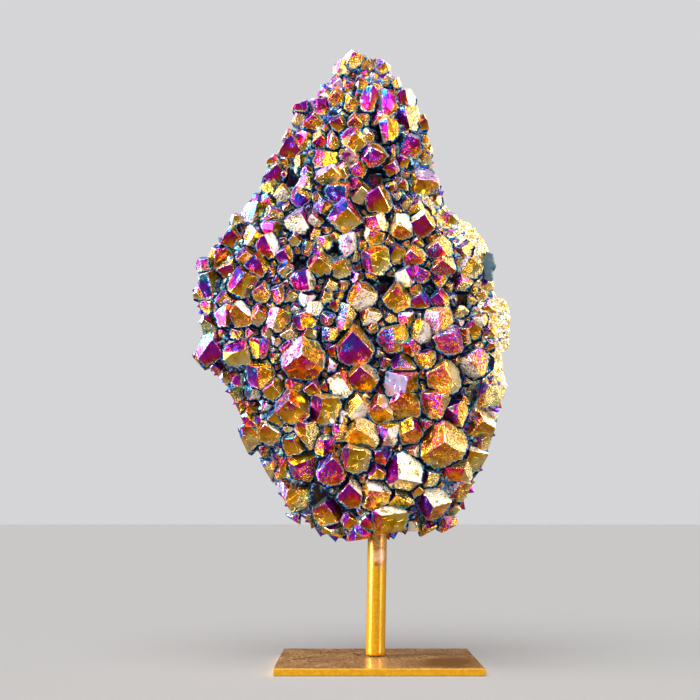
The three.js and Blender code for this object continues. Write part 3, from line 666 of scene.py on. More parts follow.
def planted_crystal(number):
    place, seat_width, lean = seats[number]
    width = seat_width * (SWELL - SWELL_FALL * min(max(seat_width / WIDE_SEAT - 1, 0), 1))
    height = width * POINT_STEEPNESS
    axis = unit(LEAN_SHARE * lean - np.array([0, height, 0]))
    reach = lean - np.array([0, height, 0])
    skew = reach - (reach @ axis) * axis
    reach = reach - skew * max(0, 1 - MOST_SKEW * width / max(np.linalg.norm(skew), TINY))
    depth = front_depth(place) - POINT_RAISE - PROUD_SHARE * width
    if abs(place[0]) < ROD_COVER_REACH and place[2] < ROD_COVER_TOP:
        depth = min(depth, ROD_COVER_DEPTH)
    base = EYE + (place - EYE) * (depth - EYE[1]) / (place - EYE)[1]
    tip = base + reach
    roll, snap_share = chance(0, 2 * math.pi), SNAP_SHARE
    if number in seen_facets:
        roll, snap_share = math.radians(seen_facets[number][0]), 0
    bounds = growth_bounds(number)
    rim = rim_bound(number)
    planes = crystal_planes(base, axis, tip, width, roll, snap_share, [rim] + bounds)
    facets = facet_rows(number, planes[0][FACETS])
    least_ground = RIM_GROUND if rim[1] < RIM_SHARE * width else -STEM_ROOT
    return crystal_piece(base, axis, tip, width, planes, len(bounds), least_ground, facets)


crystals = [planted_crystal(number) for number in range(len(seats))]
crystal_points = linked_object("druse_crystals", joined_mesh("druse_crystals", crystals))
print("crystal faces:", len(crystal_points.data.polygons))

# %% [markdown]
# ## The rock behind the crystals
# The druse grew on a broken plate of rock, which shows at the back, at the sides and deep in the gaps. It
# is a loft: the outline is smoothed to a closed curve and repeated at several depths, wider or narrower,
# and softer towards the middle. Sculpting would do too, but a loft follows the construction exactly, and
# noise can then roughen it point by point. Where the real druse has dark holes between its crystals, the
# front is pressed in.

# %% Smooth outline and profile
OUTLINE_STEPS = 5
PROFILE_STEPS = 10
SOFTEN_STEPS = 20
ROCK_MIDDLE = (358, 310)
ROCK_PROFILE = [
    (0.02, 32), (0.3, 31), (0.62, 29.5), (0.88, 26), (1.0, 20), (1.03, 14), (1.0, 8), (0.9, 2),
    (0.72, -0.5), (0.5, -1.5), (0.25, -2), (0.02, -2),
]


def smooth_run(points, steps, closed):
    """Points along a curve through the given ones, each span cut into a number of steps."""
    points = np.array(points, float)
    count = len(points)
    spans = count if closed else count - 1
    run = []
    for span in range(spans):
        near = [span - 1, span, span + 1, span + 2]
        near = [number % count if closed else min(max(number, 0), count - 1) for number in near]
        before, start, end, after = points[near]
        for step in range(steps):
            t = step / steps
            run.append(0.5 * (
                2 * start + (end - before) * t + (2 * before - 5 * start + 4 * end - after) * t ** 2
                + (3 * start - before - 3 * end + after) * t ** 3
            ))
    if not closed:
        run.append(points[-1])
    return np.array(run)


def step_up(value, low, high):
    """0 below low, 1 above high, and a smooth climb between them."""
    share = np.clip((value - low) / (high - low), 0, 1)
    return share * share * (3 - 2 * share)


outline_run = smooth_run(ROCK_OUTLINE, OUTLINE_STEPS, closed=True)
turns = range(-SOFTEN_STEPS, SOFTEN_STEPS + 1)
soft_run = np.mean([np.roll(outline_run, turn, axis=0) for turn in turns], axis=0)
profile_run = smooth_run(ROCK_PROFILE, PROFILE_STEPS, closed=False)
print(len(outline_run), "outline places by", len(profile_run), "rings")

# %% Loft
SOFT_SPREAD, SHARP_SPREAD = 0.4, 0.95
ring_size = len(outline_run)
rock_points, rock_spread = [], []
for spread, depth in profile_run:
    middle = sight_point(*ROCK_MIDDLE, depth)
    ring = soft_run + (outline_run - soft_run) * step_up(spread, SOFT_SPREAD, SHARP_SPREAD)
    for across, down in ring:
        rock_points.append(middle + (sight_point(across, down, depth) - middle) * spread)
        rock_spread.append(spread)
rock_faces = []
for ring in range(len(profile_run) - 1):
    for step in range(ring_size):
        here, ahead = ring * ring_size + step, (ring + 1) * ring_size + step
        turn = ring * ring_size + (step + 1) % ring_size
        rock_faces.append((here, ahead, turn + ring_size, turn))
last_ring = len(rock_points) - ring_size
rock_faces.append(tuple(range(ring_size)))
rock_faces.append(tuple(reversed(range(last_ring, len(rock_points)))))
rock_points, rock_spread = np.array(rock_points), np.array(rock_spread)
rock_mesh = bpy.data.meshes.new("druse_rock")
rock_mesh.from_pydata(rock_points.tolist(), [], rock_faces)
rock_normals = np.array([vert.normal for vert in rock_mesh.vertices])
print("rock points:", len(rock_points))

# %% Holes and roughness
PIT_DEPTH = 11
PIT_INNER, PIT_OUTER = 0.4, 1.2
FACING_START, FACING_FULL = 0.5, 0.9
LUMP_SIZE, LUMP_HEIGHT = 17, 2.2
FLAKE_SIZE, FLAKE_HEIGHT = 6, 1.5
GRIT_SIZE, GRIT_HEIGHT = 2.2, 0.5
BREAK_SIZE, BREAK_HEIGHT = 17, 4.0
FRONT_SINK, FRONT_CALM = 0.3, 0.5


def noise_lift(size, height, basis="PERLIN_ORIGINAL"):
    """How far noise of one size lifts each point of the rock, in millimetres."""
    return np.array([noise.noise(Vector(point / size), noise_basis=basis) for point in rock_points]) * height


facing_front = step_up(-rock_normals[:, 1], FACING_START, FACING_FULL)
facing_back = step_up(rock_normals[:, 1], FACING_START, FACING_FULL)
lumps = noise_lift(LUMP_SIZE, LUMP_HEIGHT)
heights = lumps + noise_lift(FLAKE_SIZE, FLAKE_HEIGHT, "VORONOI_F2F1") + noise_lift(GRIT_SIZE, GRIT_HEIGHT)
heights *= 1 - FRONT_CALM * facing_front
heights += facing_back * (lumps + noise_lift(BREAK_SIZE, BREAK_HEIGHT, "VORONOI_F2F1") - heights)
rock_points += rock_normals * (heights - FRONT_SINK * facing_front)[:, None]
pit = np.zeros(len(rock_points))
for place, radius in holes:
    near = np.hypot(rock_points[:, 0] - place[0], rock_points[:, 2] - place[2]) / radius
    pit = np.maximum(pit, facing_front * (1 - step_up(near, PIT_INNER, PIT_OUTER)))
rock_points[:, 1] += PIT_DEPTH * pit
rock_mesh.vertices.foreach_set("co", (rock_points * MM).ravel())
rock_mesh.update()
rock = linked_object("druse_rock", rock_mesh)
print("deepest pit in millimetres:", round(float((rock_points[:, 1] * facing_front).max()), 1))

# %% [markdown]
# ## Where the fine growth sits
# Three kinds of growth are too many to place by hand: tiny points in the gaps at the front, small points on
# the sides, and sugar-like grains along the bare right rim. Each needs a cover value on the rock's points,
# from 0 where nothing grows to 1 where it is dense. The grains' rim is found by its place in the picture.
# The pit value is stored too, so that the rock's finish can paint shade into the holes.

# %% Cover values
SUGAR_TOP, SUGAR_BOTTOM, SUGAR_FADE = 190, 405, 14
RIGHT_START, RIGHT_FULL = 398, 418
RIM_SPREAD, RIM_FADE = 0.78, 0.08
BACK_START, BACK_FULL = 18, 27
SUGAR_CROWD = 0.85


def picture_place(points):
    """The picture places, across and down, of points in millimetres."""
    away = points - EYE
    forward = away[:, 1] * math.cos(EYE_TILT) + away[:, 2] * math.sin(EYE_TILT)
    upward = away[:, 2] * math.cos(EYE_TILT) - away[:, 1] * math.sin(EYE_TILT)
    return PICTURE_MIDDLE + EYE_FOCAL * away[:, 0] / forward, PICTURE_MIDDLE - EYE_FOCAL * upward / forward


across_seen, down_seen = picture_place(rock_points)
at_right = step_up(across_seen, RIGHT_START, RIGHT_FULL)
in_band = step_up(down_seen, SUGAR_TOP - SUGAR_FADE, SUGAR_TOP + SUGAR_FADE)
in_band = in_band * (1 - step_up(down_seen, SUGAR_BOTTOM - SUGAR_FADE, SUGAR_BOTTOM + SUGAR_FADE))
near_rim = step_up(rock_spread, RIM_SPREAD, RIM_SPREAD + RIM_FADE)
near_rim = near_rim * (1 - step_up(rock_points[:, 1], BACK_START, BACK_FULL))
sugar_cover = at_right * in_band * near_rim
covers = {
    "sugar_cover": sugar_cover,
    "gap_cover": facing_front * (1 - SUGAR_CROWD * sugar_cover) * (1 - pit),
    "side_cover": near_rim * (1 - facing_front) * (1 - at_right * in_band),
    "pit": pit,
}
for cover, values in covers.items():
    rock_mesh.attributes.new(cover, "FLOAT", "POINT").data.foreach_set("value", values)
    print(cover, "mean", round(float(values.mean()), 3))

# %% [markdown]
# ## Writing node trees
# Finishes and scattered growth are node trees. Nodes can be placed by hand in the editor, but a script that
# names each node and link soon gets long. So two small classes help: a sheet adds nodes to a tree, and a
# wire stands for a node's output. Sums of wires add Math nodes, so that a finish reads like plain
# arithmetic.

# %% Node helpers
class Wire:
    """One output of a node. Sums make Math nodes, and a label in brackets picks another output."""

    def __init__(self, sheet, node, output=0):
        self.sheet = sheet
        self.node = node
        self.output = output

    def __getitem__(self, output):
        return Wire(self.sheet, self.node, output)

    def __add__(self, other):
        return self.sheet.maths("ADD", self, other)

    def __sub__(self, other):
        return self.sheet.maths("SUBTRACT", self, other)

    def __rsub__(self, other):
        return self.sheet.maths("SUBTRACT", other, self)

    def __mul__(self, other):
        return self.sheet.maths("MULTIPLY", self, other)

    def __rtruediv__(self, other):
        return self.sheet.maths("DIVIDE", other, self)


class Sheet:
    """A node tree to write on. Its methods add nodes and give back wires from them."""

    def __init__(self, tree):
        self.tree = tree
        self.coordinates = None

    def feed(self, value, socket):
        """Links a wire to a socket, or sets a plain value on it."""
        if isinstance(value, Wire):
            self.tree.links.new(value.node.outputs[value.output], socket)
        else:
            socket.default_value = value

    def add(self, kind, inputs=None, **settings):
        """A new node with its settings and inputs. An input is named by its label or its number."""
        node = self.tree.nodes.new(kind)
        for setting, value in settings.items():
            setattr(node, setting, value)
        for label, value in (inputs or {}).items():
            self.feed(value, node.inputs[label])
        return Wire(self, node)

    def maths(self, operation, *values):
        return self.add("ShaderNodeMath", dict(enumerate(values)), operation=operation)

    def vectors(self, operation, first, second):
        return self.add("ShaderNodeVectorMath", {0: first, 1: second}, operation=operation)

    def axes(self, place):
        return self.add("ShaderNodeSeparateXYZ", {0: place})

    def place(self):
        """The place in the object's own coordinates. A sheet needs one such node only."""
        if self.coordinates is None:
            self.coordinates = self.add("ShaderNodeTexCoord")["Object"]
        return self.coordinates

    def mark(self, name):
        return self.add("ShaderNodeAttribute", attribute_name=name)["Fac"]

    def remap(self, value, low, high, first=0.0, last=1.0):
        """Moves a value from one range to another and holds it there."""
        return self.add("ShaderNodeMapRange", {
            "Value": value, "From Min": low, "From Max": high, "To Min": first, "To Max": last,
        })

    def blend(self, share, first, second, mode="MIX"):
        return self.add(
            "ShaderNodeMix", {0: share, 6: first, 7: second}, data_type="RGBA", blend_type=mode,
        )[2]

    def grain(self, size, detail=2.0):
        """Noise from 0 to 1 with grains of one size in metres."""
        return self.add("ShaderNodeTexNoise", {"Vector": self.place(), "Scale": 1 / size, "Detail": detail})

    def cells(self, size):
        """A mosaic of cells of one size in metres, with their distance, colour and position."""
        return self.add("ShaderNodeTexVoronoi", {"Vector": self.place(), "Scale": 1 / size}, feature="F1")

    def tone(self, colour, channel=0):
        return self.add("ShaderNodeSeparateColor", {0: colour})[channel]

    def ramp(self, value, stops):
        """Colours at their places from 0 to 1, picked by a value."""
        made = self.add("ShaderNodeValToRGB", {0: value})
        elements = made.node.color_ramp.elements
        for place, colour in stops[1:-1]:
            elements.new(place).color = (*colour, 1)
        for number in (0, -1):
            elements[number].color = (*stops[number][1], 1)
        return made

    def bump(self, strength, depth, height):
        return self.add("ShaderNodeBump", {"Strength": strength, "Distance": depth, "Height": height})

    def group(self, tree, inputs):
        return self.add("ShaderNodeGroup", inputs, node_tree=tree)

    def shade(self, inputs):
        """The Principled shader with its inputs, and the material's output after it."""
        self.add("ShaderNodeOutputMaterial", {"Surface": self.add("ShaderNodeBsdfPrincipled", inputs)})


def new_group(name, tree_kind, inputs, outputs):
    """A sheet for a new group and the wires from its inputs.

    Inputs are rows of label, kind and value, outputs rows of label and kind.
    """
    sheet = Sheet(bpy.data.node_groups.new(name, tree_kind))
    for label, kind, value in inputs:
        socket = sheet.tree.interface.new_socket(label, in_out="INPUT", socket_type="NodeSocket" + kind)
        if value is not None:
            socket.default_value = value
    for label, kind in outputs:
        sheet.tree.interface.new_socket(label, in_out="OUTPUT", socket_type="NodeSocket" + kind)
    return sheet, sheet.add("NodeGroupInput")


def new_finish(name):
    """A material and the empty sheet of its nodes."""
    finish = bpy.data.materials.new(name)
    finish.use_nodes = True
    finish.node_tree.nodes.clear()
    return finish, Sheet(finish.node_tree)


# %% [markdown]
# ## The film's colours
# A thin clear film shows one colour for each thickness: straw, gold, amber, crimson, magenta, violet, blue,
# teal and a pale green. A colour ramp in that order turns one number, the film's thickness, into the right
# colour, and neighbouring thicknesses always give neighbouring colours, as on the real film. The number
# comes from the facet's own film mark, from how far up the point the place lies, from the way the facet
# faces and from slow noise. The foot of a crystal is sugary olive gold (the skirt), then a crust of teal
# and blue grains, then near black deep in the gap, which is painted shade. Facet borders away from the
# gaps turn pale, partly a thinner film and partly a painted edge highlight. More than one finish needs
# these colours, so they are a node group.

# %% Film colour group
FILM_STOPS = [
    (0.0, (0.95, 0.76, 0.32)), (0.14, (0.92, 0.57, 0.035)), (0.3, (0.82, 0.34, 0.006)),
    (0.4, (0.62, 0.12, 0.008)), (0.47, (0.55, 0.02, 0.09)), (0.57, (0.56, 0.01, 0.36)),
    (0.68, (0.22, 0.01, 0.55)), (0.78, (0.015, 0.08, 0.55)), (0.9, (0.015, 0.3, 0.5)),
    (1.0, (0.55, 0.7, 0.5)),
]
CRUST_STOPS = [
    (0.0, (0.0, 0.004, 0.02)), (0.3, (0.0, 0.02, 0.14)), (0.45, (0.0, 0.1, 0.5)), (0.7, (0.004, 0.26, 0.62)),
    (0.86, (0.06, 0.5, 0.7)), (0.94, (0.6, 0.42, 0.05)), (1.0, (0.9, 0.92, 0.88)),
]
SKIRT_COLOUR = (0.42, 0.36, 0.07, 1)
GAP_PAINTED_SHADE = (0.0, 0.002, 0.01, 1)
VEIL_COLOUR = (0.42, 0.34, 0.4, 1)
EDGE_FILM_AND_HIGHLIGHT = (0.9, 0.82, 0.6, 1)
WIDE_PATCH, SMALL_PATCH, SMALL_PATCH_SHARE = 0.012, 0.004, 0.7
PATCH_MIDDLE, RISE_MIDDLE = 0.85, 0.4
VEIL_GRAIN, VEIL_RANGE = 0.0035, (0.5, 0.36, 0.0, 0.6)
RAGGED_GRAIN, RAGGED_REACH = 0.0014, 2.6
UNEVEN_GRAIN, UNEVEN_REACH = 0.006, 2.4
SKIRT_RANGE, CRUST_RANGE, GAP_SHADE_RANGE = (1.2, 0.6), (0.7, 0.45), (0.32, 0.0, 0.0, 0.98)
SKIRT_SHARE, CRUST_GRAIN = 0.7, 0.0008
EDGE_BREAKS, EDGE_RANGE, EDGE_GROUND = (0.35, 0.65), (0.45, 1.0, 0.0, 0.75), (2.0, 4.0)


def film_group():
    sheet, given = new_group("Film colours", "ShaderNodeTree", [
        ("Film", "Float", 0.3), ("Rise", "Float", 0.5), ("Ground", "Float", 9.0), ("Edge", "Float", 0.0),
        ("Speckle", "Float", 0.0), ("Tip Shift", "Float", 0.2), ("Side Shift", "Float", 0.2),
        ("Patch Shift", "Float", 0.2),
    ], [
        ("Color", "Color"), ("Skirt", "Float"), ("Crust", "Float"), ("Crust Height", "Float"),
        ("Gap Shade", "Float"),
    ])
    facing = sheet.add("ShaderNodeNewGeometry")["True Normal"]
    turned = sheet.vectors("DOT_PRODUCT", facing, FILM_SIDE)["Value"]
    patches = sheet.grain(WIDE_PATCH) + sheet.grain(SMALL_PATCH) * SMALL_PATCH_SHARE - PATCH_MIDDLE
    film = given["Film"] + turned * given["Side Shift"] + patches * given["Patch Shift"]
    film = film + (given["Rise"] - RISE_MIDDLE) * given["Tip Shift"] + given["Speckle"]
    veil = sheet.remap(sheet.grain(VEIL_GRAIN, 4.0), *VEIL_RANGE)
    colour = sheet.blend(veil, sheet.ramp(film, FILM_STOPS), VEIL_COLOUR, "MULTIPLY")
    ground = given["Ground"] + (sheet.grain(UNEVEN_GRAIN) - 0.5) * UNEVEN_REACH
    ground = ground + (sheet.grain(RAGGED_GRAIN, 3.0) - 0.5) * RAGGED_REACH
    skirt = sheet.remap(ground, *SKIRT_RANGE)
    crust = sheet.remap(ground, *CRUST_RANGE)
    # Where the ground runs out, deep in the gaps, the colour goes near black: painted shade.
    gap = sheet.remap(ground, *GAP_SHADE_RANGE)
    cells = sheet.cells(CRUST_GRAIN)
    colour = sheet.blend(skirt * SKIRT_SHARE, colour, SKIRT_COLOUR)
    colour = sheet.blend(crust, colour, sheet.ramp(sheet.tone(cells["Color"]), CRUST_STOPS))
    # Pale facet borders away from the gaps: partly a thinner film, partly a painted edge highlight.
    border = given["Edge"] * sheet.remap(sheet.grain(SMALL_PATCH), *EDGE_BREAKS)
    border = sheet.remap(border, *EDGE_RANGE) * sheet.remap(ground, *EDGE_GROUND)
    colour = sheet.blend(border, colour, EDGE_FILM_AND_HIGHLIGHT)
    sheet.add("NodeGroupOutput", {
        "Color": sheet.blend(gap, colour, GAP_PAINTED_SHADE), "Skirt": skirt, "Crust": crust,
        "Crust Height": (1.0 - cells["Distance"]) * crust, "Gap Shade": gap,
    })
    return sheet.tree


film_colours = film_group()
print("film colours:", len(FILM_STOPS), "in", len(film_colours.nodes), "nodes")

# %% [markdown]
# ## Sugary skin
# Many facets are not clean mirrors: patches of them carry a skin of crystals less than a millimetre across,
# which glitter in other film colours. Modelling each would take millions of faces, so a node group makes
# them as bump, with a speckle value that shifts the film and a mask that roughens it. The rock shares the
# group.

# %% Sugary skin group
AMOUNT_REACH = 0.45
SKIN_RANGE = (0.68, 0.8)


def sugar_group():
    sheet, given = new_group("Sugary skin", "ShaderNodeTree", [
        ("Amount", "Float", 0.5), ("Grain Size", "Float", 0.0008), ("Patch Size", "Float", 0.006),
    ], [("Height", "Float"), ("Speckle", "Float"), ("Mask", "Float")])
    patch = sheet.add("ShaderNodeTexNoise", {
        "Vector": sheet.place(), "Scale": 1.0 / given["Patch Size"], "Detail": 3.0,
    })
    mask = sheet.remap(patch + given["Amount"] * AMOUNT_REACH, *SKIN_RANGE)
    cells = sheet.add("ShaderNodeTexVoronoi", {
        "Vector": sheet.place(), "Scale": 1.0 / given["Grain Size"],
    }, feature="F1")
    sheet.add("NodeGroupOutput", {
        "Height": (1.0 - cells["Distance"]) * mask,
        "Speckle": (sheet.tone(cells["Color"]) - 0.5) * mask,
        "Mask": mask,
    })
    return sheet.tree


sugary_skin = sugar_group()
print("sugary skin sockets:", len(sugary_skin.interface.items_tree))

# %% [markdown]
# ## The crystals' finish
# A facet of quartz is built of thin growth plates that lean a little to and fro, so one facet mirrors
# several lights at once. Cutting the plates into the mesh would multiply its faces. Here a mosaic stands
# for them: each cell has a lean of its own, which the bump turns into a tilted plate, and a tone that
# shifts the film slightly. White facets carry a painted highlight in patches: a near white base colour
# with less metal. In the gaps, over the painted shade, the metal fades out, so that they stay dark.

# %% Crystal finish
PAINTED_HIGHLIGHT_COLOUR = (0.87, 0.84, 0.82, 1)
SKIN_BUMP = 0.0005
PLATE_SIZE, PLATE_LEAN, PLATE_TONE = 0.0045, 0.4, 0.1
FILM_OFFSET, ASIDE_SHIFT = 0.05, 0.18
SPECKLE_SHARE = 0.5
FLASH_FINE, FLASH_WIDE, FLASH_FINE_SHARE, FLASH_RANGE = 0.0012, 0.005, 0.4, (0.56, 0.68)
RIPPLE_GRAIN, RIPPLE_SHARE = 0.0022, 0.5
CLEAN_ROUGH, SKIN_ROUGH, SKIRT_ROUGH = 0.12, 0.14, 0.3
CLEAN_METAL, CRUST_METAL, HIGHLIGHT_METAL_LOSS, CLEAN_COAT = 0.9, 0.2, 0.7, 0.2


def growth_plates(sheet):
    """Height and tone of the plates that a facet is built of. Each plate leans its own way."""
    plates = sheet.cells(PLATE_SIZE)
    arm = sheet.vectors("SUBTRACT", sheet.place(), plates["Position"])
    lean = sheet.vectors("SUBTRACT", plates["Color"], (0.5, 0.5, 0.5))
    height = sheet.vectors("DOT_PRODUCT", arm, lean)["Value"] * (PLATE_LEAN / SKIN_BUMP)
    return height, sheet.tone(plates["Color"], 1)


def crystal_finish():
    finish, sheet = new_finish("aura_crystal")
    plate_height, plate_tone = growth_plates(sheet)
    skin = sheet.group(sugary_skin, {
        "Amount": sheet.mark("sugar"), "Grain Size": 0.0006, "Patch Size": 0.006,
    })
    film = sheet.mark("film") - FILM_OFFSET + sheet.mark("aside") * ASIDE_SHIFT + plate_tone * PLATE_TONE
    colours = sheet.group(film_colours, {
        "Film": film, "Rise": sheet.mark("rise"), "Ground": sheet.mark("ground"), "Edge": sheet.mark("edge"),
        "Speckle": skin["Speckle"] * SPECKLE_SHARE, "Tip Shift": 0.24, "Side Shift": 0.0, "Patch Shift": 0.35,
    })
    # On facets with the highlight mark, patches of near white base with less metal: a painted highlight.
    highlight_patches = sheet.grain(FLASH_FINE) * FLASH_FINE_SHARE + sheet.grain(FLASH_WIDE, 3.0) + skin["Speckle"]
    painted_highlight = sheet.mark("painted_highlight") * sheet.remap(highlight_patches, *FLASH_RANGE) * (1.0 - colours["Skirt"])
    rough = skin["Mask"] * SKIN_ROUGH + CLEAN_ROUGH + colours["Skirt"] * SKIRT_ROUGH
    ripple = sheet.grain(RIPPLE_GRAIN) * RIPPLE_SHARE
    height = skin["Height"] + colours["Crust Height"] + ripple + plate_height
    # Over the painted gap shade the metal fades and the roughness rises.
    metal = sheet.remap(colours["Crust"], 0.0, 1.0, CLEAN_METAL, CRUST_METAL) * (1.0 - colours["Gap Shade"])
    sheet.shade({
        "Base Color": sheet.blend(painted_highlight, colours["Color"], PAINTED_HIGHLIGHT_COLOUR),
        "Roughness": sheet.maths("MAXIMUM", rough, colours["Gap Shade"]),
        "Normal": sheet.bump(0.7, SKIN_BUMP, height),
        "Metallic": metal - painted_highlight * HIGHLIGHT_METAL_LOSS,
        "Coat Weight": (1.0 - colours["Crust"]) * CLEAN_COAT,
        "Coat Roughness": 0.08,
        "Specular IOR Level": 0.1,
    })
    return finish


crystal_points.data.materials.append(crystal_finish())
print("crystal finish:", crystal_points.data.materials[0].name)

# %% [markdown]
# ## Finishes of the small growth and the rock
# The scattered points carry the same film. The palest ones are painted white, a painted highlight, and
# their feet and stems turn near black, a painted shade. In the gaps the rock carries the crust, painted
# dark there as shade and darkest in the holes, and at the back a patchy film over dark stone. Pale grains
# cover its right rim.

# %% Fine growth finish
FOOT_REACH, GROWTH_ROUGH = 6.0, 0.2
PAINTED_GLINT_RANGE = (0.04, -0.04, 0.0, 0.9)


def growth_finish(name, tip_shift, roughness, metal, foot):
    """The film on scattered points, which carry no border or sugar marks."""
    finish, sheet = new_finish(name)
    rise, film = sheet.mark("rise"), sheet.mark("film")
    # Towards the bottom of a point's stem the ground runs out, so the film group paints it near black:
    # painted shade.
    colours = sheet.group(film_colours, {
        "Film": film, "Rise": rise, "Ground": rise * FOOT_REACH + foot,
        "Tip Shift": tip_shift, "Side Shift": 0.2, "Patch Shift": 0.4,
    })
    # The palest film is painted white: a painted highlight.
    sheet.shade({
        "Base Color": sheet.blend(sheet.remap(film, *PAINTED_GLINT_RANGE), colours["Color"], PAINTED_HIGHLIGHT_COLOUR),
        "Roughness": colours["Skirt"] * GROWTH_ROUGH + roughness,
        "Metallic": metal,
        "Specular IOR Level": 0.2,
    })
    return finish


gap_finish = growth_finish("aura_gap_points", 0.2, 0.2, 0.35, 0.3)
side_finish = growth_finish("aura_side_points", 0.2, 0.2, 0.8, 0.0)
sugar_finish = growth_finish("aura_sugar", 0.05, 0.25, 0.55, 4.0)
print("fine growth finishes:", gap_finish.name, side_finish.name, sugar_finish.name)

# %% Rock finish
SUGAR_STOPS = [
    (0.0, (0.05, 0.06, 0.05)), (0.2, (0.16, 0.15, 0.08)), (0.4, (0.6, 0.48, 0.18)), (0.6, (0.82, 0.76, 0.46)),
    (1.0, (0.95, 0.95, 0.9)),
]
DARK_STONE, PALE_STONE = (0.05, 0.035, 0.03, 1), (0.16, 0.12, 0.1, 1)
FRONT_RANGE, SUGAR_RANGE = (0.012, 0.004), (0.05, 0.4)
BACK_GROUND, FRONT_GROUND, PIT_SHADE_DEPTH = 6.0, 0.1, 3.0
STONE_GRAIN, FILM_GRAIN, COAT_GRAIN, ROUGH_GRAIN = 0.005, 0.02, 0.015, 0.0025
COAT_RANGE, ROUGH_RANGE = (0.42, 0.62, 0.15, 0.75), (0.1, 0.8, 0.7, 0.38)
ROCK_FILM_SHIFT, ROCK_SKIN_SHARE, ROCK_METAL = 0.05, 0.4, 0.5


def rock_finish():
    finish, sheet = new_finish("aura_rock")
    sugar = sheet.remap(sheet.mark("sugar_cover"), *SUGAR_RANGE)
    front = sheet.remap(sheet.axes(sheet.place())["Y"], *FRONT_RANGE) * (1.0 - sugar)
    skin = sheet.group(sugary_skin, {"Amount": 0.9, "Grain Size": 0.0011, "Patch Size": 0.01})
    # On the front, seen in the gaps, the ground runs low and lower still in the holes, so the film group
    # paints them dark: painted shade.
    colours = sheet.group(film_colours, {
        "Film": sheet.grain(FILM_GRAIN) + ROCK_FILM_SHIFT,
        "Ground": sheet.remap(front, 0.0, 1.0, BACK_GROUND, FRONT_GROUND) - sheet.mark("pit") * PIT_SHADE_DEPTH,
        "Speckle": skin["Speckle"] * SPECKLE_SHARE, "Tip Shift": 0.0, "Side Shift": 0.1, "Patch Shift": 0.5,
    })
    stone = sheet.blend(sheet.grain(STONE_GRAIN, 4.0), DARK_STONE, PALE_STONE)
    filmed = sheet.remap(sheet.grain(COAT_GRAIN, 4.0), *COAT_RANGE)
    filmed = sheet.maths("MAXIMUM", filmed, front)
    grains = sheet.ramp(skin["Speckle"] + 0.5, SUGAR_STOPS)
    height = skin["Height"] * ROCK_SKIN_SHARE + sheet.grain(ROUGH_GRAIN, 6.0) + colours["Crust Height"]
    sheet.shade({
        "Base Color": sheet.blend(sugar, sheet.blend(filmed, stone, colours["Color"]), grains),
        "Roughness": sheet.remap(filmed, *ROUGH_RANGE),
        "Metallic": filmed * (1.0 - colours["Gap Shade"]) * ROCK_METAL,
        "Normal": sheet.bump(0.8, MM, height),
        "Specular IOR Level": 0.15,
    })
    return finish


rock_mesh.materials.append(rock_finish())
rock_mesh.polygons.foreach_set("use_smooth", [True] * len(rock_mesh.polygons))
print("rock finish:", rock_mesh.materials[0].name)

# %% [markdown]
# ## Scattering small points
# Geometry Nodes fit growth that follows a surface. One tree serves all three kinds: it spreads places over
# the rock, thicker where the cover value is high, sets a small six-sided point on each, turned and tilted
# at random, and realizes them as a plain mesh. The rise and film marks are stored on the way, so the film's
# colours work on them too.

# %% Scatter tree
STEM_HEIGHT, STEM_TAPER = 0.7, 0.9


